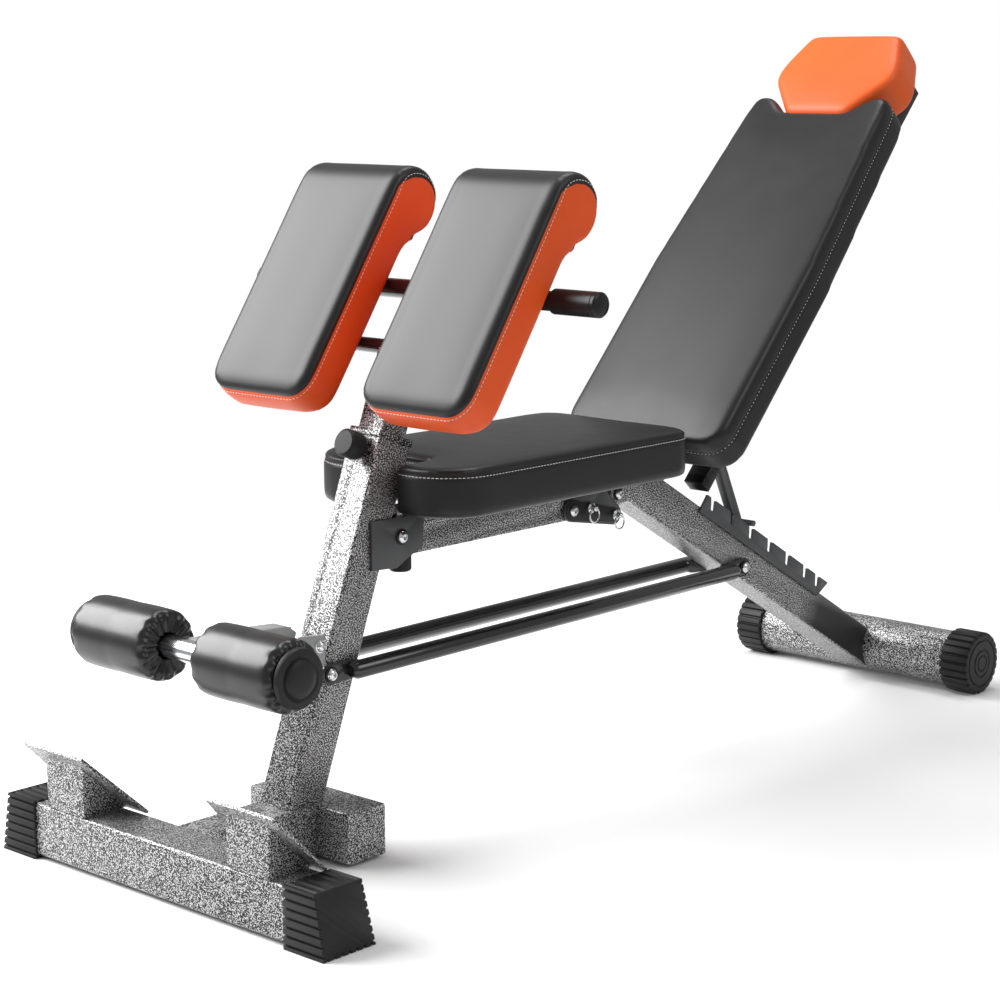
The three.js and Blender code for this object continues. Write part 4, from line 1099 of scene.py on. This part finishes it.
# along the front cap: the share of its length, how far it is drawn in, and what is left of the top ridges
CAP_RINGS = [(0, 1.0, 1), (0.03, 0, 1), (0.90, 0, 1), (0.93, 0, 0), (0.985, 0, 0), (1, 1.3, 0)]


def front_cap(label, sign):
    """Slipped over the end of the front foot: ridged all round, the top ridges short of the leaning end."""
    top = cap_top
    corners = [(-cap_front, 0), (cap_heel, 0), (cap_shoulder, top), (-cap_front, top)]
    middle, half_width = Vector((28, 32)), 34
    rings = []
    for share, inset, top_share in CAP_RINGS:
        ring = []
        for k, (count, depth, stops_short) in enumerate(CAP_WALLS):
            for spot, plain in ridges(corners[k], corners[(k + 1) % 4], count, depth):
                if stops_short:
                    spot = plain.lerp(spot, top_share)
                spot = middle + (spot - middle) * (1 - inset / half_width)
                spot.y = max(spot.y, 0)
                end = cap_end - cap_lean * spot.y / top
                x = cap_start + (end - cap_start) * share
                ring.append(LEVEL @ (Vector((sign * x, spot.x, spot.y)) * MM))
        rings.append(ring)
    piece = smooth(loft(f"ribbed_front_cap_{label}", rings), 40)
    finished(piece, "frame", FINISH["plastic"], "plastic", f"front_cap_{label}")


# radius and depth below the end of the rear cap, ring by ring towards its middle
REAR_CAP_END = [(34, 1), (33.3, 2.2), (31.8, 2.2), (31.1, 0.8), (20, 0.6), (19.3, 1.8), (17.8, 1.8),
                (17.1, 0.4), (12, 0.4), (11.4, 1.6), (10, 1.6), (9.4, 0.2)]


def rear_cap(label, sign):
    """A ridged cup on the end of the rear tube, with rings sunk into its end."""
    node = f"rear_cap_{label}"
    origin, rim = middle_of(node), radius_of(node)
    mouth, end = reach_of(node)
    profile = [(rim - 5, mouth, 0), (rim - 0.8, mouth, 1), (rim, mouth + 0.8, 1), (rim, end - 4, 1),
               (rim - 0.8, end - 2.2, 1), (rim - 2.4, end - 1.2, 0.7), (rim - 4.4, end - 1, 0)]
    profile += [(radius, end - depth, 0) for radius, depth in REAR_CAP_END]
    around = rear_ribs * ridge_samples
    rings = []
    for radius, height, share in profile:
        ring = []
        for k in range(around):
            angle = 2 * math.pi * k / around
            reach = radius - share * rear_rib_depth * groove(rear_ribs * angle / 2)
            spot = Vector((sign * height, reach * math.cos(angle), reach * math.sin(angle)))
            ring.append(origin + spot * MM)
        rings.append(ring)
    piece = smooth(loft(f"ribbed_rear_cap_{label}", rings), 40)
    finished(piece, "leg", FINISH["plastic"], "plastic", node)


# ------------------------------------------------------------------ steel made apart from the frame's own
def box_of(place, node):
    """The lowest and highest corner of a CAD node, in millimetres of a side-view frame."""
    points = local(place, coordinates(frame["nodes"][node].data))
    return points.min(axis=0), points.max(axis=0)


def rounded_square(half_x, low_y, high_y, radius, steps=5):
    right = arc(half_x - radius, low_y + radius, radius, -90, 0, steps)
    right += arc(half_x - radius, high_y - radius, radius, 0, 90, steps)
    return right + [(-x, y) for x, y in reversed(right)]


CHEEK = [(184, 231), (223.9, 217.4), (223.2, 252.7), (186.2, 256.1)]
CHEEK_BOLT = [(0, 0), (7.6, 0), (7.6, 1.2), (6.2, 1.4), (5.8, 3.2), (4.4, 4.8), (2.4, 5.4), (2.2, 3.4),
              (0, 3.2)]
cheek_bolt_y, cheek_bolt_z = 216, 241


def roller_bracket():
    """Two cheeks on the post and an arm between them, out to the back of the roller bar."""
    for label, sign in (("left", -1), ("right", 1)):
        inner, outer = sorted((sign * cheek_inner, sign * cheek_outer))
        cheek = prism(f"bracket_cheek_{label}", CHEEK, inner, outer, LEVEL, across=True)
        finished(eased(cheek, 0.6), "frame", FINISH["grey_paint"], "grey_paint", "roller_arm")
        seat = LEVEL @ (Vector((sign * cheek_outer, cheek_bolt_y, cheek_bolt_z)) * MM)
        head = lathe(f"bracket_bolt_{label}", CHEEK_BOLT, seat, Vector((sign, 0, 0)), 32)
        finished(smooth(head, 50), "frame", FINISH["chrome"], "chrome")
    bar_y, bar_z = side_spot("roller_bar")
    reach, half = bar_y + 5, bracket_arm_half
    lower, upper = (reach, bar_z - half), (reach, bar_z + half)
    side = [lower, (190, 238), (197, 258), (183.8, 266.3), (151.3, 268.7), upper]
    arm = prism("bracket_arm", side, -half, half, LEVEL, across=True)
    finished(eased(arm, 2.0), "frame", FINISH["grey_paint"], "grey_paint")


def upper_post():
    """The sliding tube, ending at the pads' cross bar, and the plate that carries the handle bar."""
    low, high = box_of(POST, "inner_post")
    top = (upper_tube_top - post_foot_z) / math.cos(math.radians(post_lean))
    outline = rounded_square(high[0], low[1], high[1], upper_tube_corner)
    tube = prism("sliding_tube", outline, low[2] + 0.5, top, POST)
    finished(eased(tube, 0.6), "carriage", FINISH["hammered_paint"], "hammered_paint", "inner_post")
    lower_y, lower_z = side_spot("pad_cross_bar")
    upper_y, upper_z = side_spot("handle_bar")
    lean = math.degrees(math.atan2(upper_z - lower_z, upper_y - lower_y))
    outline = arc(upper_y, upper_z, handle_plate_crown, lean + 90, lean - 90, 12)
    outline.append((lower_y + 44, lower_z - 6))
    outline += arc(lower_y, lower_z, handle_plate_foot, lean - 90, lean - 270, 12)
    plate = prism("handle_plate", outline, -handle_plate_half, handle_plate_half, LEVEL, across=True)
    finished(eased(plate, 0.8), "carriage", BLACK_RAIL, "hammered_paint")


def collar_rim():
    """The rough dark rim round the top of the post."""
    points = local(POST, coordinates(frame["nodes"]["post_collar"].data))
    low, high = points.min(axis=0), points.max(axis=0)
    deck = points[points[:, 2] > high[2] - 2]
    rear, front = deck[:, 1].max(), deck[:, 1].min()
    outline = rounded_square(high[0] + 0.3, front - 0.3, rear + 0.3, 5)
    rim = prism("collar_rim", outline, high[2] - 8, high[2] + 0.4, POST)
    finished(eased(rim, 0.8), "frame", BLACK_SPECKLE, "hammered_paint")


def rail_end():
    """The plug in the lower end of the back's rail."""
    low, high = box_of(BACK, "back_rail")
    near, far = low[1] - 0.3, low[1] + 14
    outline = [(near, low[2]), (far, low[2]), (far, high[2]), (near, high[2])]
    plug = prism("rail_plug", outline, low[0], high[0], BACK, across=True)
    finished(eased(plug, 1.0), "back", BLACK_RAIL, "dark_paint")


# how far each ring of a grip's end lies in from its radius and back from its far face
GRIP_END = [(0, 8), (0.7, 7.4), (0.7, 6.8), (0, 6.2), (0, 3), (1.2, 1.4), (2.6, 0.9), (3.2, 1.6), (4.2, 1.3)]


def grip(label, sign):
    """A rubber grip with a ring cut in near its end."""
    node = f"grip_{label}"
    radius = radius_of(node)
    near, far = reach_of(node)
    profile = [(0, near), (radius - 0.6, near), (radius, near + 0.8)]
    profile += [(radius - inset, far - back) for inset, back in GRIP_END]
    profile += [(5, far - 0.3), (0, far)]
    piece = smooth(lathe(f"rubber_grip_{label}", profile, middle_of(node), Vector((sign, 0, 0)), 56), 35)
    finished(piece, "carriage", BLACK_RAIL, "plastic", node)


def pin_shadow_strip(label, sign):
    """The black strip under the link plate's bolt and two pull pins, a painted shadow of the plate's top
    edge.
    """
    low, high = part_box(f"link_plate_{label}")
    face = (high.x if sign > 0 else low.x) / MM
    first_y, first_z = side_spot("link_bolt")
    last_y, last_z = side_spot("ring_pin_rear")
    lean = math.degrees(math.atan2(last_z - first_z, last_y - first_y))
    outline = arc(last_y, last_z, 8.5, lean + 90, lean - 90, 8)
    outline += arc(first_y, first_z, 13, lean - 90, lean - 270, 10)
    # a black sheet standing for painted shadow on the plate
    strip = prism(f"pin_shadow_strip_{label}", outline, face + sign * 0.05, face + sign * 1.6, LEVEL, across=True)
    finished(eased(strip, 0.4), "seat", BLACK_RAIL, "dark_paint")


# ------------------------------------------------------------------ assembly of the looks
PAIRED = ("front_cap", "rear_cap", "grip", "ladder_plate", "thigh_pad", "roller", "roller_cap")
REMADE = {f"{name}_{side}" for name in PAIRED for side in ("left", "right")}
REMADE |= {"roller_arm", "inner_post", "seat_pad", "back_pad", "headrest"}
BOLTS = ["seat_pivot_bolt", "rod_front_bolt", "rod_rear_bolt", "link_bolt", "leg_pivot_bolt"]
EDGE = {"base_cross_block": 1.5, "pull_ring_front": 0.05, "pull_ring_rear": 0.05}
# the rear leg's speckle, with painted shade over the side faces of its lower end
LEG_PAINT_WITH_SHADE = hammered_paint("leg_speckle_painted_shade", LEG_STOPS, leg_painted_shade)
PAINT = {node: BLACK_RAIL for node in ("back_rail", "back_bracket", "headrest_standoff", "back_standoff")}
PAINT["rear_leg"] = LEG_PAINT_WITH_SHADE
for node in sorted(frame["nodes"]):
    if node in REMADE or node in BOLTS:
        continue
    dress(node, EDGE.get(node, 0.6), PAINT.get(node))

for node in BOLTS:
    bolt(node)
roller_bracket()
upper_post()
collar_rim()
rail_end()
seat_pad()
back_pad()
headrest()
for label, sign in (("left", -1), ("right", 1)):
    ladder_plate(label)
    front_cap(label, sign)
    rear_cap(label, sign)
    grip(label, sign)
    pin_shadow_strip(label, sign)
    thigh_pad(label, sign)
    roller(label, sign)
    roller_cap(label, sign)

# ------------------------------------------------------------------ floor, light and camera
ROOM_LIGHT = 0.40                   # of the white that stands behind the bench
SOFTBOXES = [                       # towards, metres away, size, watts
    ((-0.667, -0.50, 0.55), 3.2, 3.0, 238),
    ((0.85, 0.1, 0.6), 3.4, 1.8, 26),
    ((-0.1, 0.3, 1.0), 3.0, 1.6, 40),
]
camera_azimuth, camera_elevation, camera_roll = 42.7206, 10.3374, -0.1948
camera_lens, camera_sensor = 86.04, 36
camera_place = (1.8959, -1.5158, 0.8658)            # in the level side view, metres


def fading_floor():
    """A pale floor that thins out to the studio's white, with no edge."""
    disc = {"cap_ends": True, "segments": 96, "radius": 9}
    floor = object_from("floor", lambda bm: bmesh.ops.create_circle(bm, **disc))
    pale = Shader("pale_floor")
    shade = pale.mix(pale.noise(3, 2), (0.84, 0.84, 0.84), (0.87, 0.87, 0.87))
    pale.set(Base_Color=shade, Roughness=0.9)
    pale.surface.inputs["Specular IOR Level"].default_value = 0.1
    reach = pale.nodes.new("ShaderNodeVectorMath")
    reach.operation = "LENGTH"
    pale.links.new(pale.place, reach.inputs[0])
    fade = pale.add("ShaderNodeMapRange", From_Min=0.95, From_Max=2.3, To_Min=1.0, To_Max=0.0)
    fade.interpolation_type = "SMOOTHSTEP"
    pale.links.new(reach.outputs["Value"], fade.inputs["Value"])
    pale.set(Alpha=fade.outputs["Result"])
    floor.data.materials.append(pale.material)


def white_studio():
    """White behind everything, and a dimmer white that lights the bench and shows in its gloss."""
    world = bpy.data.worlds.new("studio")
    bpy.context.scene.world = world
    world.use_nodes = True
    nodes, links = world.node_tree.nodes, world.node_tree.links
    background = nodes["Background"]
    background.inputs["Color"].default_value = (1, 1, 1, 1)
    path = nodes.new("ShaderNodeLightPath")
    level = nodes.new("ShaderNodeMapRange")
    level.inputs["To Min"].default_value = ROOM_LIGHT
    level.inputs["To Max"].default_value = 1.0
    links.new(path.outputs["Is Camera Ray"], level.inputs["Value"])
    links.new(level.outputs["Result"], background.inputs["Strength"])


def studio():
    """Floor, room and three round softboxes, the largest high at the front left."""
    fading_floor()
    white_studio()
    middle = Vector((0, 0, 0.45))
    for index, (toward, away, size, power) in enumerate(SOFTBOXES):
        light = bpy.data.lights.new(f"softbox_{index}", "AREA")
        light.shape, light.size, light.energy = "DISK", size, power
        lamp = bpy.data.objects.new(light.name, light)
        bpy.context.scene.collection.objects.link(lamp)
        lamp.location = middle + Vector(toward).normalized() * away
        lamp.rotation_mode = "QUATERNION"
        lamp.rotation_quaternion = (middle - lamp.location).to_track_quat("-Z", "Y")
    bpy.context.scene.view_settings.view_transform = "Standard"


def camera():
    """Low, in front and to the right, level but for a small roll."""
    azimuth, elevation = math.radians(camera_azimuth), math.radians(camera_elevation)
    level = Vector((math.sin(azimuth), -math.cos(azimuth), 0))
    back = level * math.cos(elevation) + Vector((0, 0, math.sin(elevation)))
    lens = bpy.data.cameras.new("camera")
    lens.lens, lens.sensor_width = camera_lens, camera_sensor
    eye = bpy.data.objects.new("camera", lens)
    bpy.context.scene.collection.objects.link(eye)
    eye.location = LEVEL @ Vector(camera_place)
    eye.rotation_mode = "QUATERNION"
    eye.rotation_quaternion = Quaternion(back, math.radians(camera_roll)) @ (-back).to_track_quat("-Z", "Y")
    bpy.context.scene.camera = eye


studio()
camera()
